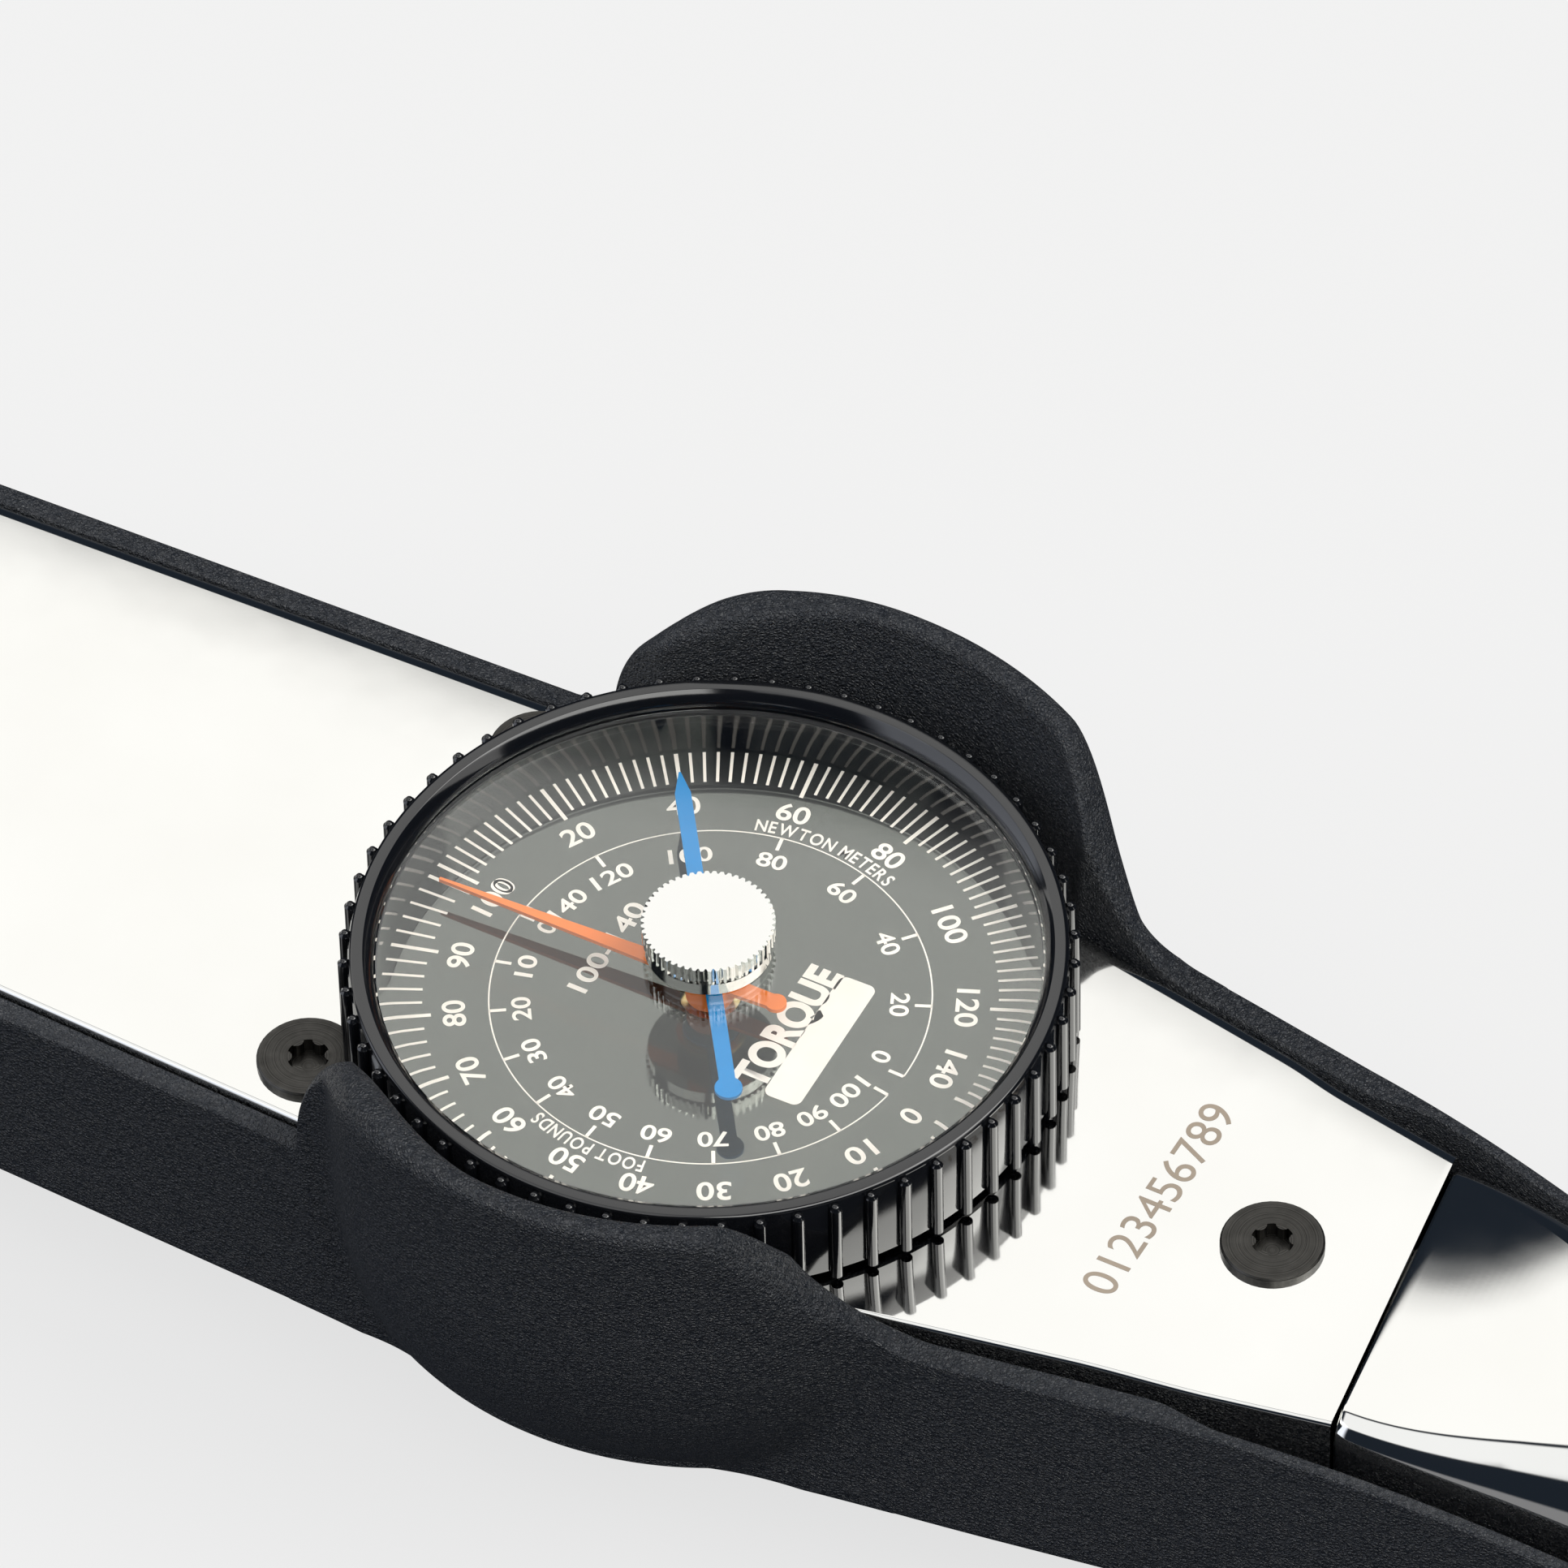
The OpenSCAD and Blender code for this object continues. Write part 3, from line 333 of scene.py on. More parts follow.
gasket_rubber = plastic_material("gasket_rubber", (0.01, 0.01, 0.011), 0.6, 0.00001)
orange = plastic_material("orange_paint", (0.98, 0.24, 0.045), 0.5, 0.000002, Specular_IOR_Level=0.25)
blue = plastic_material("blue_paint", (0.003, 0.235, 0.57), 0.45, 0.000002, Specular_IOR_Level=0.08)
cream = plastic_material("cream_print", (0.98, 0.90, 0.80), 0.5, 0.000001)
etched = plastic_material("etched_marks", (0.34, 0.28, 0.22), 0.6, 0.000001)


def dial_material():
    """Dark lacquer that mirrors what stands over it."""
    m, b = shader("dial_grey", (0.005, 0.006, 0.006), 0.035, IOR=2.15)
    b.inputs["Specular Tint"].default_value = (0.96, 1.0, 0.90, 1)
    tint(m, b, noise(m, 120, 3), 0.35, 0.65, (0.004, 0.005, 0.006), (0.006, 0.007, 0.007))
    link(m, remap(m, noise(m, 150, 3), 0.3, 0.7, 0.025, 0.045), b.inputs["Roughness"])
    return m


def lens_material():
    """Clear plastic. It lets light through to the dial instead of casting a shadow."""
    m, b = shader("clear_lens", (1, 1, 1), 0.0)
    tree = m.node_tree
    tree.nodes.remove(b)
    glass = node(m, "ShaderNodeBsdfGlass")
    glass.inputs["Color"].default_value = (0.985, 0.99, 0.99, 1)
    glass.inputs["Roughness"].default_value = 0.0
    glass.inputs["IOR"].default_value = 1.48
    clear = node(m, "ShaderNodeBsdfTransparent")
    clear.inputs["Color"].default_value = (0.985, 0.99, 0.99, 1)
    path = node(m, "ShaderNodeLightPath")
    mix = node(m, "ShaderNodeMixShader")
    most = node(m, "ShaderNodeMath", operation="MAXIMUM")
    link(m, path.outputs["Is Shadow Ray"], most.inputs[0])
    link(m, path.outputs["Is Diffuse Ray"], most.inputs[1])
    link(m, most.outputs[0], mix.inputs["Fac"])
    link(m, glass.outputs[0], mix.inputs[1])
    link(m, clear.outputs[0], mix.inputs[2])
    link(m, mix.outputs[0], tree.nodes["Material Output"].inputs["Surface"])
    return m


dial_grey = dial_material()
clear_lens = lens_material()

NODE_MATERIALS = {
    "top_cover": chrome, "lower_cover": plated, "protective_boot": rubber, "cover_screws": screw_black,
    "standoffs": steel, "lower_cover_screws": screw_black, "handle_tube": tube_chrome, "grip": grip_rubber,
    "end_cap": cap_plastic, "anchor_block": steel, "tube_rivets": steel, "flexure_beam": spring,
    "beam_screws": screw_black, "drive_head": drive_steel, "upper_drive_bush": bronze,
    "lower_drive_bush": bronze, "stop_pins": steel, "sector_arm": steel, "sector_screws": screw_black,
    "detent_ball": drive_steel, "detent_spring": spring, "pointer_spindle": steel, "pointer_pinion": brass,
    "torque_pointer": orange, "spindle_bush": brass, "movement_bridge": brass, "bridge_pillars": brass,
    "bridge_screws": screw_black, "hairspring": spring, "hairspring_stud": brass, "bezel_seat": aluminium,
    "seat_screws": screw_black, "bezel": gloss_black, "bezel_wire": spring, "lens": clear_lens,
    "lens_gasket": gasket_rubber, "dial_face": dial_grey, "memory_bush": brass, "memory_knob": knob_chrome,
    "memory_shaft": steel, "memory_washer": bronze, "memory_pointer": blue}
for name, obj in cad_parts.items():
    obj.data.materials.clear()
    obj.data.materials.append(NODE_MATERIALS[name])


# ------------------------------------------------------------ camera and light

# The camera's place in metres and its axes, worked out from the dial's circles and the plate's edges
CAMERA_AT = (0.59866, -0.83040, 1.12282)
CAMERA_RIGHT = (0.87711407, 0.47999988, -0.0164628)
CAMERA_DOWN = (0.34577706, -0.65489298, -0.67197724)
CAMERA_FORWARD = (-0.33333037, 0.58370824, -0.74038879)

camera_data = bpy.data.cameras.new("camera")
camera_data.sensor_width = 36
camera_data.lens = 319.96
camera_data.clip_start = 0.05
camera_data.clip_end = 20
camera = bpy.data.objects.new("camera", camera_data)
bpy.context.scene.collection.objects.link(camera)
axes = Matrix([CAMERA_RIGHT, [-c for c in CAMERA_DOWN], [-c for c in CAMERA_FORWARD]]).transposed()
camera.matrix_world = Matrix.Translation(CAMERA_AT) @ axes.to_4x4()
bpy.context.scene.camera = camera
bpy.context.scene.view_settings.view_transform = "Standard"


def build_world():
    """Soft boxes in a dark studio: a key and a fill with a narrow gap between them, one on each side."""
    world = bpy.data.worlds.new("studio")
    bpy.context.scene.world = world
    world.use_nodes = True
    tree = world.node_tree
    back = tree.nodes["Background"]

    def math_node(operation, a, b=None):
        n = tree.nodes.new("ShaderNodeMath")
        n.operation = operation
        for i, v in enumerate((a, b)):
            if v is None:
                continue
            if isinstance(v, (int, float)):
                n.inputs[i].default_value = v
            else:
                tree.links.new(v, n.inputs[i])
        return n.outputs[0]

    def ramp(value, stops):
        """Colour against an angle from -180 to 180 degrees, or against a cosine from -1 to 1."""
        reach = 180 if max(abs(a) for a, _ in stops) > 1 else 1
        n = tree.nodes.new("ShaderNodeValToRGB")
        n.color_ramp.interpolation = "EASE"
        tree.links.new(math_node("ADD", math_node("DIVIDE", value, 2 * reach), 0.5), n.inputs["Fac"])
        elements = n.color_ramp.elements
        elements[0].position, elements[0].color = (stops[0][0] / reach + 1) / 2, (*stops[0][1], 1)
        elements[1].position, elements[1].color = (stops[-1][0] / reach + 1) / 2, (*stops[-1][1], 1)
        for at, color in stops[1:-1]:
            elements.new((at / reach + 1) / 2).color = (*color, 1)
        return n.outputs["Color"]

    def window(value, low, high, soft):
        """White between low and high, fading to black over soft on either side."""
        off, on = (0, 0, 0), (1, 1, 1)
        return ramp(value, [(low - soft, off), (low, on), (high, on), (high + soft, off)])

    def mix(kind, a, b, factor=1.0):
        n = tree.nodes.new("ShaderNodeMix")
        n.data_type = "RGBA"
        n.blend_type = kind
        n.inputs["Factor"].default_value = factor
        n.clamp_result = False
        for socket, v in ((n.inputs[6], a), (n.inputs[7], b)):
            if isinstance(v, tuple):
                socket.default_value = (*v, 1)
            else:
                tree.links.new(v, socket)
        return n.outputs[2]

    coord = tree.nodes.new("ShaderNodeTexCoord")
    split = tree.nodes.new("ShaderNodeSeparateXYZ")
    tree.links.new(coord.outputs["Generated"], split.inputs[0])
    x, y, z = (split.outputs[i] for i in range(3))
    degrees = 180 / math.pi
    around = math_node("MULTIPLY", math_node("ARCTAN2", z, y), degrees)
    azimuth = math_node("MULTIPLY", math_node("ARCTAN2", y, x), degrees)
    height = math_node("MULTIPLY", math_node("ARCSINE", z), degrees)

    low, dark, grey = (0.035, 0.04, 0.05), (0.016, 0.022, 0.032), (0.30, 0.30, 0.31)
    key, fill = (1.42, 1.41, 1.38), (1.25, 1.25, 1.24)
    right, left = (4.4, 4.38, 4.25), (1.3, 1.36, 1.5)
    base = ramp(around, [(-180, dark), (-176, grey), (-155, grey), (-145, low), (-8, low), (4, dark),
                         (44, dark), (47.5, key), (83, key), (85.5, dark), (180, dark)])
    fill_box = mix("MULTIPLY", window(around, 92, 136, 4), window(x, -0.52, 0.12, 0.08))
    right_box = mix("MULTIPLY", window(azimuth, -60, 40, 5), window(height, 35, 62, 3))
    light = mix("ADD", base, mix("MULTIPLY", fill_box, fill))
    light = mix("ADD", light, mix("MULTIPLY", right_box, right))
    left_box = mix("MULTIPLY", window(azimuth, -172, -118, 12), window(height, 4, 36, 10))
    light = mix("ADD", light, mix("MULTIPLY", left_box, left))
    tree.links.new(light, back.inputs["Color"])


build_world()

floor_material, floor_shader = shader("floor_grey", (0.12, 0.12, 0.12), 0.9)
floor_shader.inputs["Emission Color"].default_value = (0.72, 0.72, 0.72, 1)
floor_shader.inputs["Emission Strength"].default_value = 1.0
floor_shader.inputs["Specular IOR Level"].default_value = 0.0
FLOOR_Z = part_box("drive_head")[0].z - 0.0002
FLOOR_HALF = 8
floor_corners = [(x * FLOOR_HALF, y * FLOOR_HALF, FLOOR_Z) for x, y in ((-1, -1), (1, -1), (1, 1), (-1, 1))]
floor_mesh = bpy.data.meshes.new("floor")
floor_mesh.from_pydata(floor_corners, [], [(0, 1, 2, 3)])
floor_mesh.materials.append(floor_material)
floor = bpy.data.objects.new("floor", floor_mesh)
bpy.context.scene.collection.objects.link(floor)
floor.visible_diffuse = False
floor.visible_glossy = False


# ------------------------------------------------------------ top cover

def cover_hw(s):
    """Half width of the straight-sided cover."""
    if s < WAIST_S:
        return WAIST_HW - (WAIST_HW - HEAD_HW) * (WAIST_S - s) / (DIAL_X + WAIST_S)
    return WAIST_HW - (WAIST_HW - REAR_HW - REAR_SHIFT) * (s - WAIST_S) / (PLATE_REAR - WAIST_S)


def plate_half(s, inset, side):
    """Distance from the middle line to the cover's edge, with the round lobe under the dial."""
    r = BULGE_R - inset
    around = math.sqrt(r * r - s * s) if abs(s) < r else 0.0
    narrow = max(0.0, (s - WAIST_S) / (PLATE_REAR - WAIST_S)) * 2 * REAR_SHIFT if side < 0 else 0.0
    return soft_max(cover_hw(s) - narrow - inset, around, 0.5)


def cover_loop(place_at):
    """One section of the sheet cover; place_at(inset) gives its near and far points."""
    sides = []
    for side, roll in enumerate((NEAR_ROLL, FAR_ROLL)):
        profile = [(0.0, COVER_SPLIT_Z), (0.0, PLATE_Z - roll)]
        profile += [(roll * (1 - math.cos(a)), PLATE_Z - roll + roll * math.sin(a))
                    for a in (math.pi / 2 * i / 8 for i in range(1, 9))]
        profile += [(COVER_T + 2.2, PLATE_Z - COVER_T), (COVER_T, PLATE_Z - COVER_T - 1.4)]
        profile += [(COVER_T, COVER_SPLIT_Z)]
        sides.append([(*place_at(inset)[side], z) for inset, z in profile])
    near, far = sides
    k = len(near) - 3
    return near[:k] + far[:k][::-1] + far[k:][::-1] + near[k:]


def cover_at_s(s):
    lean = REAR_SLANT * smooth((s - 55) / 12)

    def spot(inset):
        near, far = plate_half(s, inset, -1), plate_half(s, inset, 1)
        return (DIAL_X + s + lean * near, -near), (DIAL_X + s - lean * far, far)
    return spot


def cover_at_head(angle):
    def spot(inset):
        r = HEAD_HW - inset
        return (-r * math.cos(angle), -r * math.sin(angle)), (-r * math.cos(angle), r * math.sin(angle))
    return spot


def bored(obj, spots, r, low, high, sharp):
    """Cuts round holes through an object's mesh."""
    ring = [(math.cos(2 * math.pi * i / 48), math.sin(2 * math.pi * i / 48)) for i in range(48)]
    verts, faces = merge(*[loft([[(x + r * c, y + r * s, z) for c, s in ring] for z in (low, high)])
                           for x, y in spots])
    mesh = bpy.data.meshes.new("holes")
    mesh.from_pydata([tuple(c * MM for c in v) for v in verts], [], faces)
    cutter = bpy.data.objects.new("holes", mesh)
    bpy.context.scene.collection.objects.link(cutter)
    modifier = obj.modifiers.new("holes", "BOOLEAN")
    modifier.operation, modifier.solver, modifier.object = "DIFFERENCE", "EXACT", cutter
    bpy.context.view_layer.update()
    whole = obj.data
    obj.data = bpy.data.meshes.new_from_object(obj.evaluated_get(bpy.context.evaluated_depsgraph_get()))
    obj.data.name = whole.name
    obj.data.set_sharp_from_angle(angle=math.radians(sharp))
    obj.modifiers.clear()
    bpy.data.objects.remove(cutter)


cover_stations = [cover_at_head(math.radians(a)) for a in steps(1.5, 90, 40)]
cover_stations += [cover_at_s(s) for s in steps(-DIAL_X, PLATE_REAR, 260)[1:]]
verts, faces = loft([cover_loop(c) for c in cover_stations])
sheet = make("top_cover_sheet", verts, faces, chrome, "housing", ["top_cover"],
             sharp=40)
bored(sheet, SCREW_SPOTS, SCREW_HOLE_R, PLATE_Z - COVER_T - 1, PLATE_Z + 1, sharp=35)


# ------------------------------------------------------------ boot

def wall_hw(s):
    """Half width over the boot's plain outer wall, at its lip."""
    out = cover_hw(min(s, BEND_S)) + BOOT_T + BOOT_GAP + 0.45 * smooth((s - 20) / 30)
    d = s - BEND_S
    return out - (0.145 * d + 0.0006 * d * d if d > 0 else 0)


def ear_r(z):
    """Radius of an ear's outer face at height z above the plate."""
    return EAR_ROOT_R + (EAR_OUT_R - EAR_ROOT_R) * max(0.0, 1 - (min(0.0, z) / EAR_DEPTH) ** 2) ** 0.6


def boot_outer(s, z):
    """Distance from the middle line to the boot's outer face."""
    wall = wall_hw(s) + BOOT_DRAFT * (LIP_DROP - z)
    r = ear_r(z) - EAR_TAPER * min(0.0, s - EAR_TAPER_S) ** 2
    around = math.sqrt(r * r - s * s) if abs(s) < r - 1 else 0.0
    if around <= 0:
        return wall
    return soft_max(wall, around, 2.4) - max(0.0, 0.6 - 0.1 * abs(wall - around))


def thin_t(s):
    """Wall thickness, which falls off where the boot leaves the covers."""
    return BOOT_T + 0.35 - 1.6 * smooth((s - BEND_S) / 9)


def boot_inner(s):
    """Distance from the middle line to the boot's inner face at the plate."""
    wall = cover_hw(s) + 0.15 if s <= BEND_S else wall_hw(s) - thin_t(s)
    return max(wall, math.sqrt(EAR_IN_R ** 2 - s * s) if abs(s) < EAR_IN_R else 0.0)


def ear_angle(s):
    """Angle about the dial axis of the boot's wall at s, in degrees from +X."""
    around = math.sqrt(EAR_MID_R ** 2 - s * s) if abs(s) < EAR_MID_R else 0.0
    return math.degrees(math.atan2(soft_max(wall_hw(s), around, 1.0), s))


def ear_rise(a):
    """Share of an ear's full height at an angle: a round front end and a long slope at the back."""
    if a > EAR_FRONT_A:
        return max(0.0, 1 - ((a - EAR_FRONT_A) / EAR_FRONT_SPAN) ** 4) ** (1 / 3)
    return smooth((a - EAR_BACK_A) / EAR_BACK_SPAN)


def lip_z(s):
    """Height of the boot's top edge above the plate."""
    d = s - BEND_S
    low = -LIP_DROP + 0.4 * smooth((s - 20) / 20) - (LIP_FALL * d * d if d > 0 else 0)
    return low + (EAR_H - low) * ear_rise(ear_angle(s))


WALL_LEVELS = 22


def boot_section(at, direction, top, thick, edge, foot, outs, lean=0.0):
    """One section of the boot: outer wall, rounded lip, inner wall and the flange under the body."""
    top_z = PLATE_Z + top
    foot_z = BOOT_BOTTOM + foot
    flange_z = min(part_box("lower_cover")[0].z / MM - 0.1, top_z - edge - 0.05)
    lean_z = flange_z + 0.6 * (top_z - edge - flange_z)
    rise = top_z - edge - foot_z
    rim = outs[-1]
    profile = [(outs[0] - foot, BOOT_BOTTOM)]
    profile += [(outs[0] - foot + foot * math.sin(a), BOOT_BOTTOM + foot - foot * math.cos(a))
                for a in (math.pi / 2 * i / 4 for i in range(1, 4))]
    profile += [(outs[i], foot_z + rise * i / WALL_LEVELS) for i in range(WALL_LEVELS + 1)]
    turns = [math.pi / 2 * i / 6 for i in range(1, 7)]
    profile += [(rim - edge + edge * math.cos(a), top_z - edge + edge * math.sin(a)) for a in turns]
    profile += [(rim - thick + lean + edge - edge * math.sin(a), top_z - edge + edge * math.cos(a))
                for a in [0.0] + turns]
    inside = rim - thick
    profile += [(inside, lean_z), (inside, flange_z), (inside - FLANGE_IN, flange_z)]
    profile += [(inside - FLANGE_IN, BOOT_BOTTOM)]
    return [(at[0] + direction[0] * o, at[1] + direction[1] * o, z) for o, z in profile]


def side_station(s, side):
    top = lip_z(s)
    ear = smooth((top + 1) / 8)
    edge = 0.35 + 2.05 * ear
    top_z, low_z = top - edge, BOOT_BOTTOM + BOOT_FOOT - PLATE_Z
    outs = [boot_outer(s, low_z + (top_z - low_z) * i / WALL_LEVELS) for i in range(WALL_LEVELS + 1)]
    thick = outs[-1] - boot_inner(s)
    lean = EAR_LEAN * smooth((s + 22) / 20) * max(0.0, top) / EAR_H
    edge = min(edge, 0.45 * (thick - lean))
    return boot_section((DIAL_X + s, 0), (0, side), top, thick, edge, BOOT_FOOT, outs, lean)


def build_boot():
    s_values = steps(-DIAL_X, -40, 40) + steps(-39.6, -30.4, 20)
    s_values += [-30.2 + 7.2 * (i / 60) ** 2 for i in range(61)]
    s_values += steps(-22.6, 24, 70) + steps(24.4, 56, 90)
    s_values += steps(57, BOOT_END_S, 70)
    head_hw = HEAD_HW + BOOT_T + BOOT_GAP
    head_outs = [head_hw + BOOT_DRAFT * 25 * (1 - i / WALL_LEVELS) for i in range(WALL_LEVELS + 1)]
    loops = [side_station(s, -1) for s in s_values]
    loops += [boot_section((DIAL_X + BOOT_END_S, 15 * (-1 + i / 5)), (1, 0), 2.7 - PLATE_Z, 1.4, 0.15, 0.3,
                           [0.0] * (WALL_LEVELS + 1)) for i in range(1, 10)]
    loops += [side_station(s, 1) for s in reversed(s_values)]
    for i in range(1, 48):
        a = math.radians(90 + 180 * i / 48)
        out = (math.cos(a), math.sin(a))
        loops.append(boot_section((0, 0), out, -LIP_DROP, BOOT_T - 0.1, 0.35, BOOT_FOOT, head_outs))
    return loft(loops, closed_path=True)


verts, faces = build_boot()
make("boot_shell", verts, faces, rubber, "housing", ["protective_boot"], sharp=50)


# ------------------------------------------------------------ handle tube

TUBE_X0 = DIAL_X + PLATE_REAR + 0.35
TUBE_X1 = DIAL_X + 130
TUBE_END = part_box("handle_tube")[1].x / MM
FLAT_HW, FLAT_HH, FLAT_CORNER = 19.6, 11.5, 3.4  # the oblong's half sizes and corner radius
CROWN_Y, CROWN = 11.0, 0.0145  # where the far side's crown starts, and how fast it falls


def tube_loop(x, shrink, sides=192):
    """One ring of the tube: a rounded oblong that turns into a circle, its far side slightly crowned."""
    t = smooth((x - TUBE_X0) / (TUBE_X1 - TUBE_X0))
    half_w, half_h = FLAT_HW + (TUBE_R - FLAT_HW) * t - shrink, FLAT_HH + (TUBE_R - FLAT_HH) * t - shrink
    corner = FLAT_CORNER + (TUBE_R - FLAT_CORNER) * t - shrink
    lean = REAR_SLANT * max(0.0, 1 - (x - TUBE_X0) / 20)
    loop = []
    for i in range(sides):
        a = 2 * math.pi * (i + 0.5) / sides
        c, s = math.cos(a), math.sin(a)
        y = REAR_SHIFT * (1 - t) + math.copysign(half_w - corner, c) + corner * c
        z = math.copysign(half_h - corner, s) + corner * s
        if z > 0:
            z -= CROWN * (1 - t) * max(0.0, y - CROWN_Y) ** 2
        loop.append((x - lean * y, y, TUBE_MID_Z + z))
    return loop


tube_xs = [TUBE_X0, TUBE_X0 + 0.12, TUBE_X0 + 0.3] + steps(TUBE_X0 + 1.5, TUBE_X1, 60)
tube_xs += steps(TUBE_X1 + 2, TUBE_END, 20)
outer_loops = [tube_loop(x, max(0.0, 0.15 - (x - TUBE_X0) * 0.6)) for x in tube_xs]
inner_loops = [tube_loop(x, TUBE_T) for x in reversed(tube_xs)]
verts, faces = loft(outer_loops + inner_loops, closed_path=True)
make("handle_tube_shell", verts, faces, tube_chrome, "housing", ["handle_tube"],
     sharp=40)


# ------------------------------------------------------------ bezel, lens

BEZEL_R, RIB_CIRCLE_R, RIB_R, RIB_COUNT, RIB_PHASE = 37.6, 38.0, 0.65, 60, 0.8
RIB_TOP, BEZEL_H, BEZEL_FOOT = 11.3, 12.0, 0.9
SKIRT_R, SHELF_R, SHELF_H, GROOVE_R = 35.3, 34.6, 8.85, 35.25
LENS_R, LENS_SHOULDER_R, LENS_HOLE_R = 35.1, 34.3, 2.52
LENS_DOME, LENS_EDGE, LENS_WALL = 1.4, 10.15, 0.9


def z_at(h):
    return PLATE_Z + h


def lens_rise(r):
    """How far the domed lens stands above its shoulder at a radius."""
    return LENS_DOME * (1 - (r / LENS_SHOULDER_R) ** 2)


bezel_profile = [(SKIRT_R, z_at(BEZEL_FOOT)), (BEZEL_R - 0.3, z_at(BEZEL_FOOT))]
bezel_profile += [(BEZEL_R, z_at(BEZEL_FOOT + 0.3))]
bezel_profile += [(BEZEL_R, z_at(RIB_TOP - 0.1)), (BEZEL_R - 0.12, z_at(RIB_TOP + 0.15))]
bezel_profile += arc(BEZEL_R - 0.62, z_at(BEZEL_H - 0.5), 0.5, 0, 90, 6)
bezel_profile += arc(LENS_R + 0.95, z_at(BEZEL_H - 0.15), 0.15, 90, 145, 3)
bezel_profile += [(LENS_R + 0.1, z_at(BEZEL_H - 0.7)), (LENS_R - 0.15, z_at(LENS_EDGE + 0.35)),
                  (LENS_R - 0.15, z_at(LENS_EDGE + 0.1)), (LENS_R + 0.1, z_at(LENS_EDGE + 0.1)),
                  (LENS_R + 0.1, z_at(SHELF_H)), (SHELF_R, z_at(SHELF_H)), (SHELF_R, z_at(3.5)),
                  (GROOVE_R, z_at(3.5)), (GROOVE_R, z_at(2.9)), (SKIRT_R, z_at(2.85))]
centre = (DIAL_X, 0.0)
parts = [revolve(bezel_profile, 360, centre)]
rib_profile = [(RIB_R, z_at(BEZEL_FOOT)), (RIB_R, z_at(RIB_TOP - 0.15))]
rib_profile += [(0.42, z_at(RIB_TOP + 0.12)), (0.36, z_at(RIB_TOP + 0.28)), (0.2, z_at(RIB_TOP + 0.4)),
                (0.01, z_at(RIB_TOP + 0.42)), (0.01, z_at(BEZEL_FOOT))]
for i in range(RIB_COUNT):
    a = math.radians(RIB_PHASE + 360 * i / RIB_COUNT)
    rib_centre = (DIAL_X + RIB_CIRCLE_R * math.cos(a), RIB_CIRCLE_R * math.sin(a))
    parts.append(revolve(rib_profile, 20, rib_centre))
verts, faces = merge(*parts)
make("bezel_ring_body", verts, faces, gloss_black, "bezel_ring", ["bezel"], sharp=32)

lens_rs = steps(LENS_HOLE_R, LENS_SHOULDER_R, 30)
lens_profile = [(r, z_at(LENS_EDGE - LENS_WALL + lens_rise(r))) for r in lens_rs]
lens_profile += [(LENS_R, z_at(LENS_EDGE - LENS_WALL)), (LENS_R, z_at(LENS_EDGE - 0.4))]
lens_profile += [(LENS_R - 0.35, z_at(LENS_EDGE - 0.05))]
lens_profile += [(r, z_at(LENS_EDGE + lens_rise(r))) for r in reversed(lens_rs)]
verts, faces = revolve(lens_profile[::-1], 240, centre)
make("lens_disc", verts, faces, clear_lens, "bezel_ring", ["lens"], sharp=20)


# ------------------------------------------------------------ dial markings

CAP_HEIGHT = 0.729  # of a capital in Blender's font at size 1
STROKE = 0.018
MARK_Z = DIAL_TOP + 0.02
TICK_IN_R, MAJOR_IN_R, TICK_OUT_R = 30.05, 29.2, 34.3
TICK_W, MAJOR_W, INNER_W = 0.33, 0.45, 0.4
BAND_IN_R, BAND_OUT_R, INNER_TICK_R = 23.04, 23.2, 21.35
OUTER_NUMERAL_R, OUTER_NUMERAL_H = 26.88, 2.45
INNER_NUMERAL_R, INNER_NUMERAL_H = 19.83, 2.03
UNIT_R, UNIT_H = 24.4, 1.65


def text_part(text, height, width=1.0, weight=0.0):
    """The outlines of a text as a flat mesh, centred, capitals height mm tall."""
    curve = bpy.data.curves.new("text", "FONT")
    curve.body = text
    curve.size = 1.0
    curve.offset = weight
    curve.align_x = "CENTER"
    obj = bpy.data.objects.new("text", curve)
    bpy.context.scene.collection.objects.link(obj)
    bpy.context.view_layer.update()
    mesh = bpy.data.meshes.new_from_object(obj.evaluated_get(bpy.context.evaluated_depsgraph_get()))
    verts = [tuple(v.co) for v in mesh.vertices]
    faces = [tuple(p.vertices) for p in mesh.polygons]
    bpy.data.objects.remove(obj)
    bpy.data.curves.remove(curve)
    bpy.data.meshes.remove(mesh)
    xs = [v[0] for v in verts]
    mid = (min(xs) + max(xs)) / 2
    scale = height / CAP_HEIGHT
    return [((x - mid) * scale * width, (y - CAP_HEIGHT / 2) * scale, 0) for x, y, _ in verts], faces


def at_angle(part, degrees, r, z):
    """Turns a part so that its top points outward at that angle on the dial."""
    a = math.radians(degrees)
    turn = Matrix.Rotation(a - math.pi / 2, 4, "Z")
    return moved(part, Matrix.Translation((DIAL_X + r * math.cos(a), r * math.sin(a), z)) @ turn)


def bar(degrees, r0, r1, width, z):
    """A graduation line from radius r0 to r1."""
    half = width / 2
    part = ([(-half, r0, 0), (half, r0, 0), (half, r1, 0), (-half, r1, 0)], [(0, 1, 2, 3)])
    turn = Matrix.Rotation(math.radians(degrees - 90), 4, "Z")
    return moved(part, Matrix.Translation((DIAL_X, 0, z)) @ turn)


def circle_band(r0, r1, a0, a1, z):
    """A printed arc from angle a0 up to a1, between two radii."""
    n = max(2, int(abs(a1 - a0)))
    verts = []
    for a in steps(a0, a1, n):
        c, s = math.cos(math.radians(a)), math.sin(math.radians(a))
        verts += [(DIAL_X + r0 * c, r0 * s, z), (DIAL_X + r1 * c, r1 * s, z)]
    return verts, [(2 * i, 2 * i + 1, 2 * i + 3, 2 * i + 2) for i in range(n)]


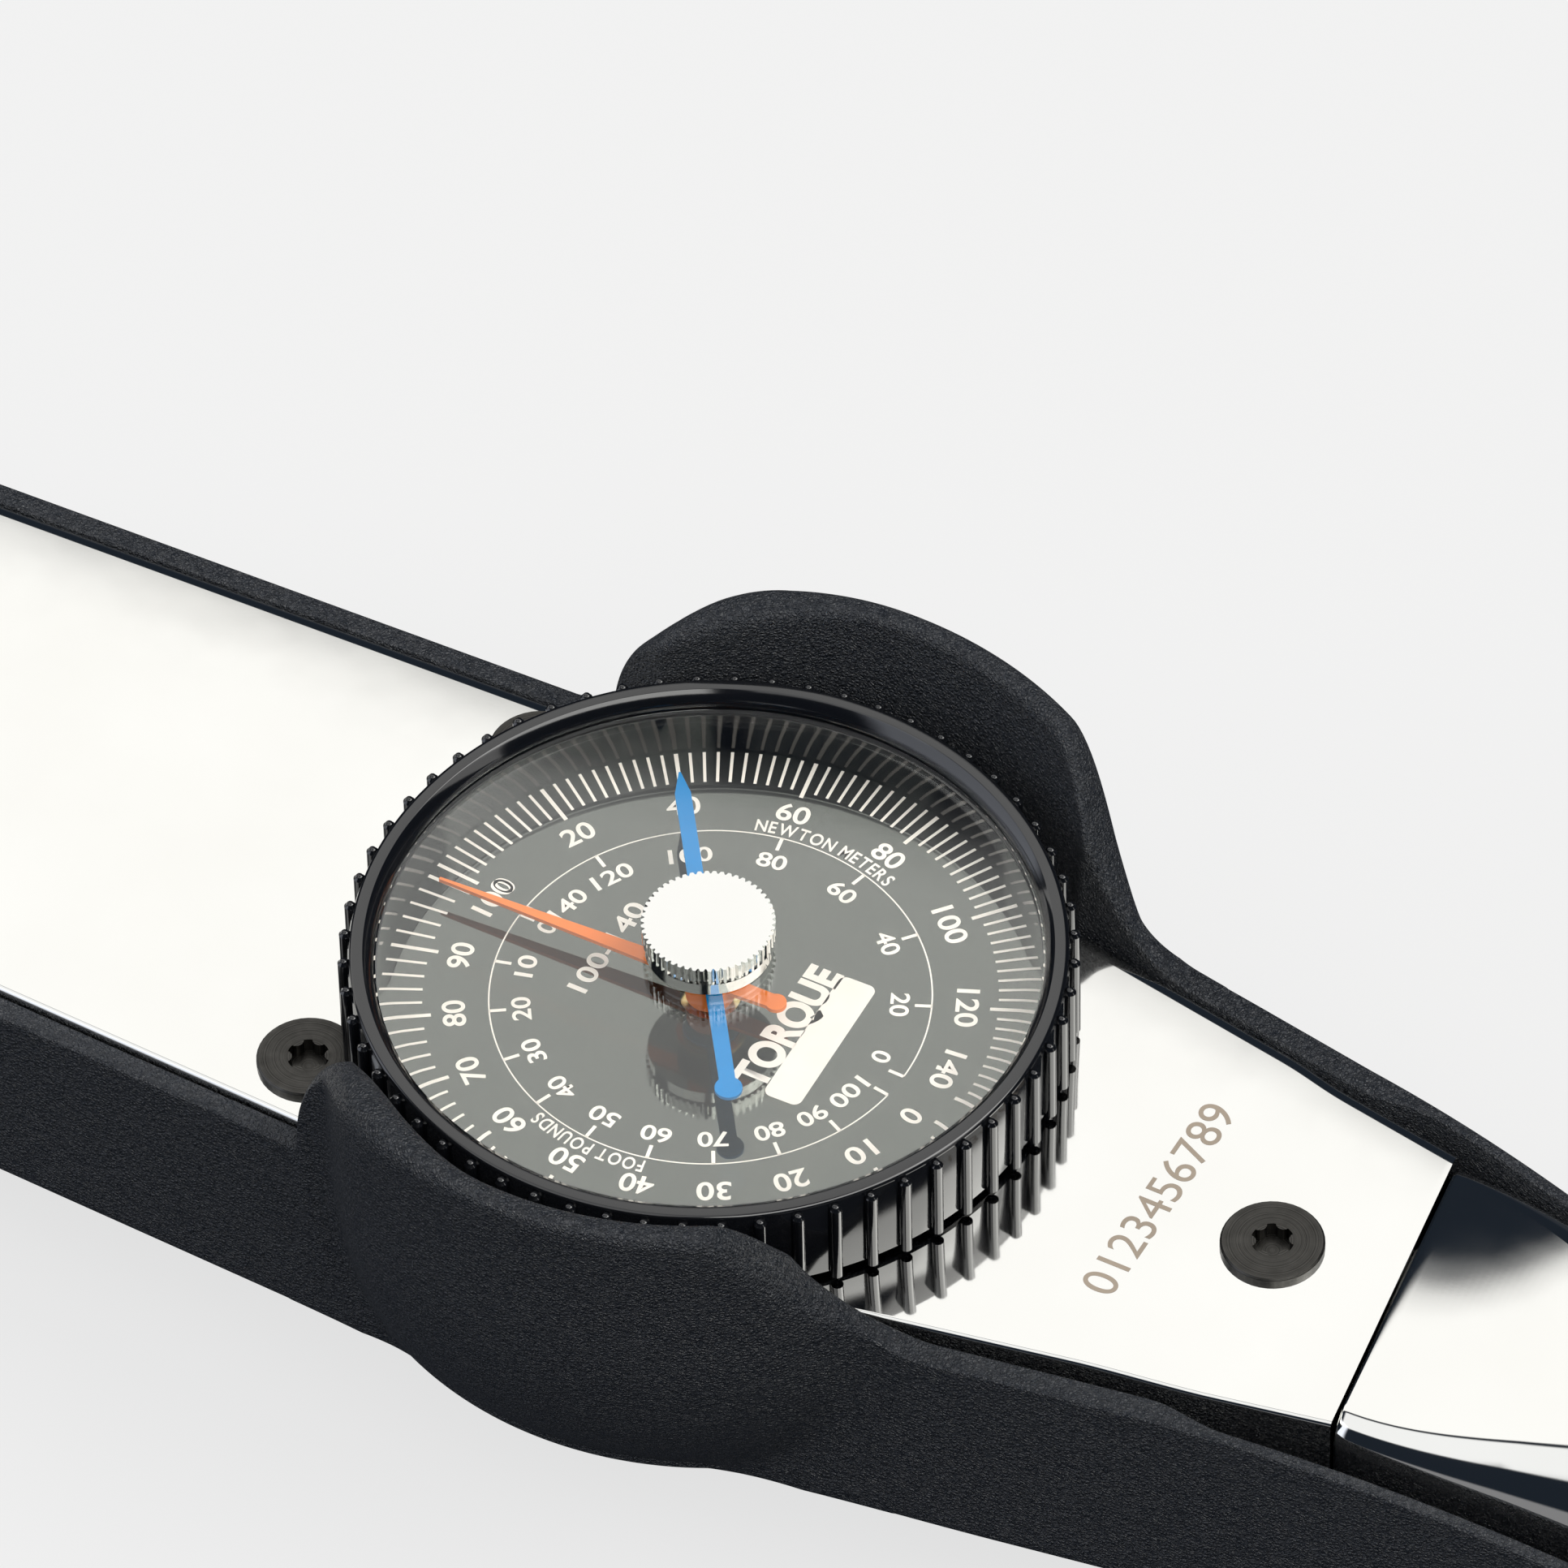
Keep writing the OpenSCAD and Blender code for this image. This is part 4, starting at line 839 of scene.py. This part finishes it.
def word_on_arc(word, degrees, r, height, width, z, weight=0.0):
    """Letters set one by one round the arc, clockwise, tops outward."""
    glyphs = []
    for ch in word:
        if ch == " ":
            glyphs.append((None, height * 0.42 * width))
            continue
        part = text_part(ch, height, width, weight)
        xs = [v[0] for v in part[0]]
        glyphs.append((part, max(xs) - min(xs) + height * 0.16))
    total = sum(w for _, w in glyphs)
    out, pos = [], -total / 2
    for part, w in glyphs:
        if part:
            out.append(at_angle(part, degrees - math.degrees((pos + w / 2) / r), r, z))
        pos += w
    return out


def newton(v):
    """Angle on the dial of a value in newton metres, in degrees."""
    return 175.5 - 1.2613 * v


def pound(v):
    """Angle on the dial of a value in foot pounds, in degrees."""
    return -8.5 - 1.729 * v


def fitted(text, height, length, weight=0.0):
    """A text stretched to an exact length."""
    verts, faces = text_part(text, height, 1.0, weight)
    natural = max(v[0] for v in verts) - min(v[0] for v in verts)
    return [(x * length / natural, y, z) for x, y, z in verts], faces


def numeral(value, height, width):
    """A number with even, wide digits; a leading 1 is narrower than the rest."""
    text = str(value)
    length = (0.775 * len(text) - 0.08 - (0.12 if text[0] == "1" else 0)) * height * width
    return fitted(text, height, length, STROKE)


def reading_up(part, s, y, z):
    """A text that reads towards +Y with its letters' tops towards -X."""
    return moved(part, Matrix.Translation((DIAL_X + s, y, z)) @ Matrix.Rotation(math.pi / 2, 4, "Z"))


def rounded_block(width, length, r):
    """A flat oblong with corners of radius r."""
    points = []
    for k, (cx, cy) in enumerate(((1, 1), (-1, 1), (-1, -1), (1, -1))):
        for a in steps(90 * k, 90 * k + 90, 8):
            points.append((cx * (width / 2 - r) + r * math.cos(math.radians(a)),
                           cy * (length / 2 - r) + r * math.sin(math.radians(a)), 0))
    return points, [tuple(range(len(points)))]


# Each scale: its angle, full value and step between numerals, and the degrees by which some numerals
# of the outer and the inner ring are moved aside to keep clear of their neighbours
SCALES = [(newton, 140, 20, {0: -2.6, 140: 6.4}, {0: -7.6, 140: 3.6}),
          (pound, 100, 10, {0: -1.9, 100: -1.6}, {0: -6.1, 100: 0.5, 10: -3.2})]
marks = []
for angle, full, step, outer_shift, inner_shift in SCALES:
    for v in range(0, full + 1, 2):
        inner_r, width = (MAJOR_IN_R, MAJOR_W) if v % step == 0 else (TICK_IN_R, TICK_W)
        marks.append(bar(angle(v), inner_r, TICK_OUT_R, width, MARK_Z))
    marks.append(circle_band(BAND_IN_R, BAND_OUT_R, angle(full), angle(0), MARK_Z))
    for v in range(0, full + 1, step):
        marks.append(bar(angle(v), INNER_TICK_R, BAND_IN_R + 0.06, INNER_W, MARK_Z))
        outer = numeral(v, OUTER_NUMERAL_H, 1.0)
        marks.append(at_angle(outer, angle(v) + outer_shift.get(v, 0), OUTER_NUMERAL_R, MARK_Z))
        inner = numeral(full - v, INNER_NUMERAL_H, 1.08)
        marks.append(at_angle(inner, angle(v) + inner_shift.get(v, 0), INNER_NUMERAL_R, MARK_Z))
marks += word_on_arc("NEWTON METERS", 87.8, UNIT_R, UNIT_H, 0.80, MARK_Z, STROKE)
marks += word_on_arc("FOOT POUNDS", -93.4, UNIT_R, UNIT_H, 0.76, MARK_Z, STROKE)
marks.append(reading_up(fitted("TORQUE", 3.7, 17.8, 0.045), 9.0, 0.0, MARK_Z))
marks.append(reading_up(fitted("100-140", 2.3, 13.6, STROKE), -12.85, 0.9, MARK_Z))
block_turn = Matrix.Rotation(math.radians(1.5), 4, "Z")
block_place = Matrix.Translation((DIAL_X + 13.1, -0.15, MARK_Z)) @ block_turn
marks.append(moved(rounded_block(4.2, 18.2, 0.9), block_place))
verts, faces = merge(*marks)
make("dial_markings", verts, faces, cream, "bezel_ring", sharp=0)

# The number etched in the plate behind the rear screw
digits = fitted("0123456789", 4.0, 28.2)
verts, faces = reading_up(digits, 52.6, 0.1, PLATE_Z + 0.012)
make("plate_number", verts, faces, etched, "housing", sharp=0)
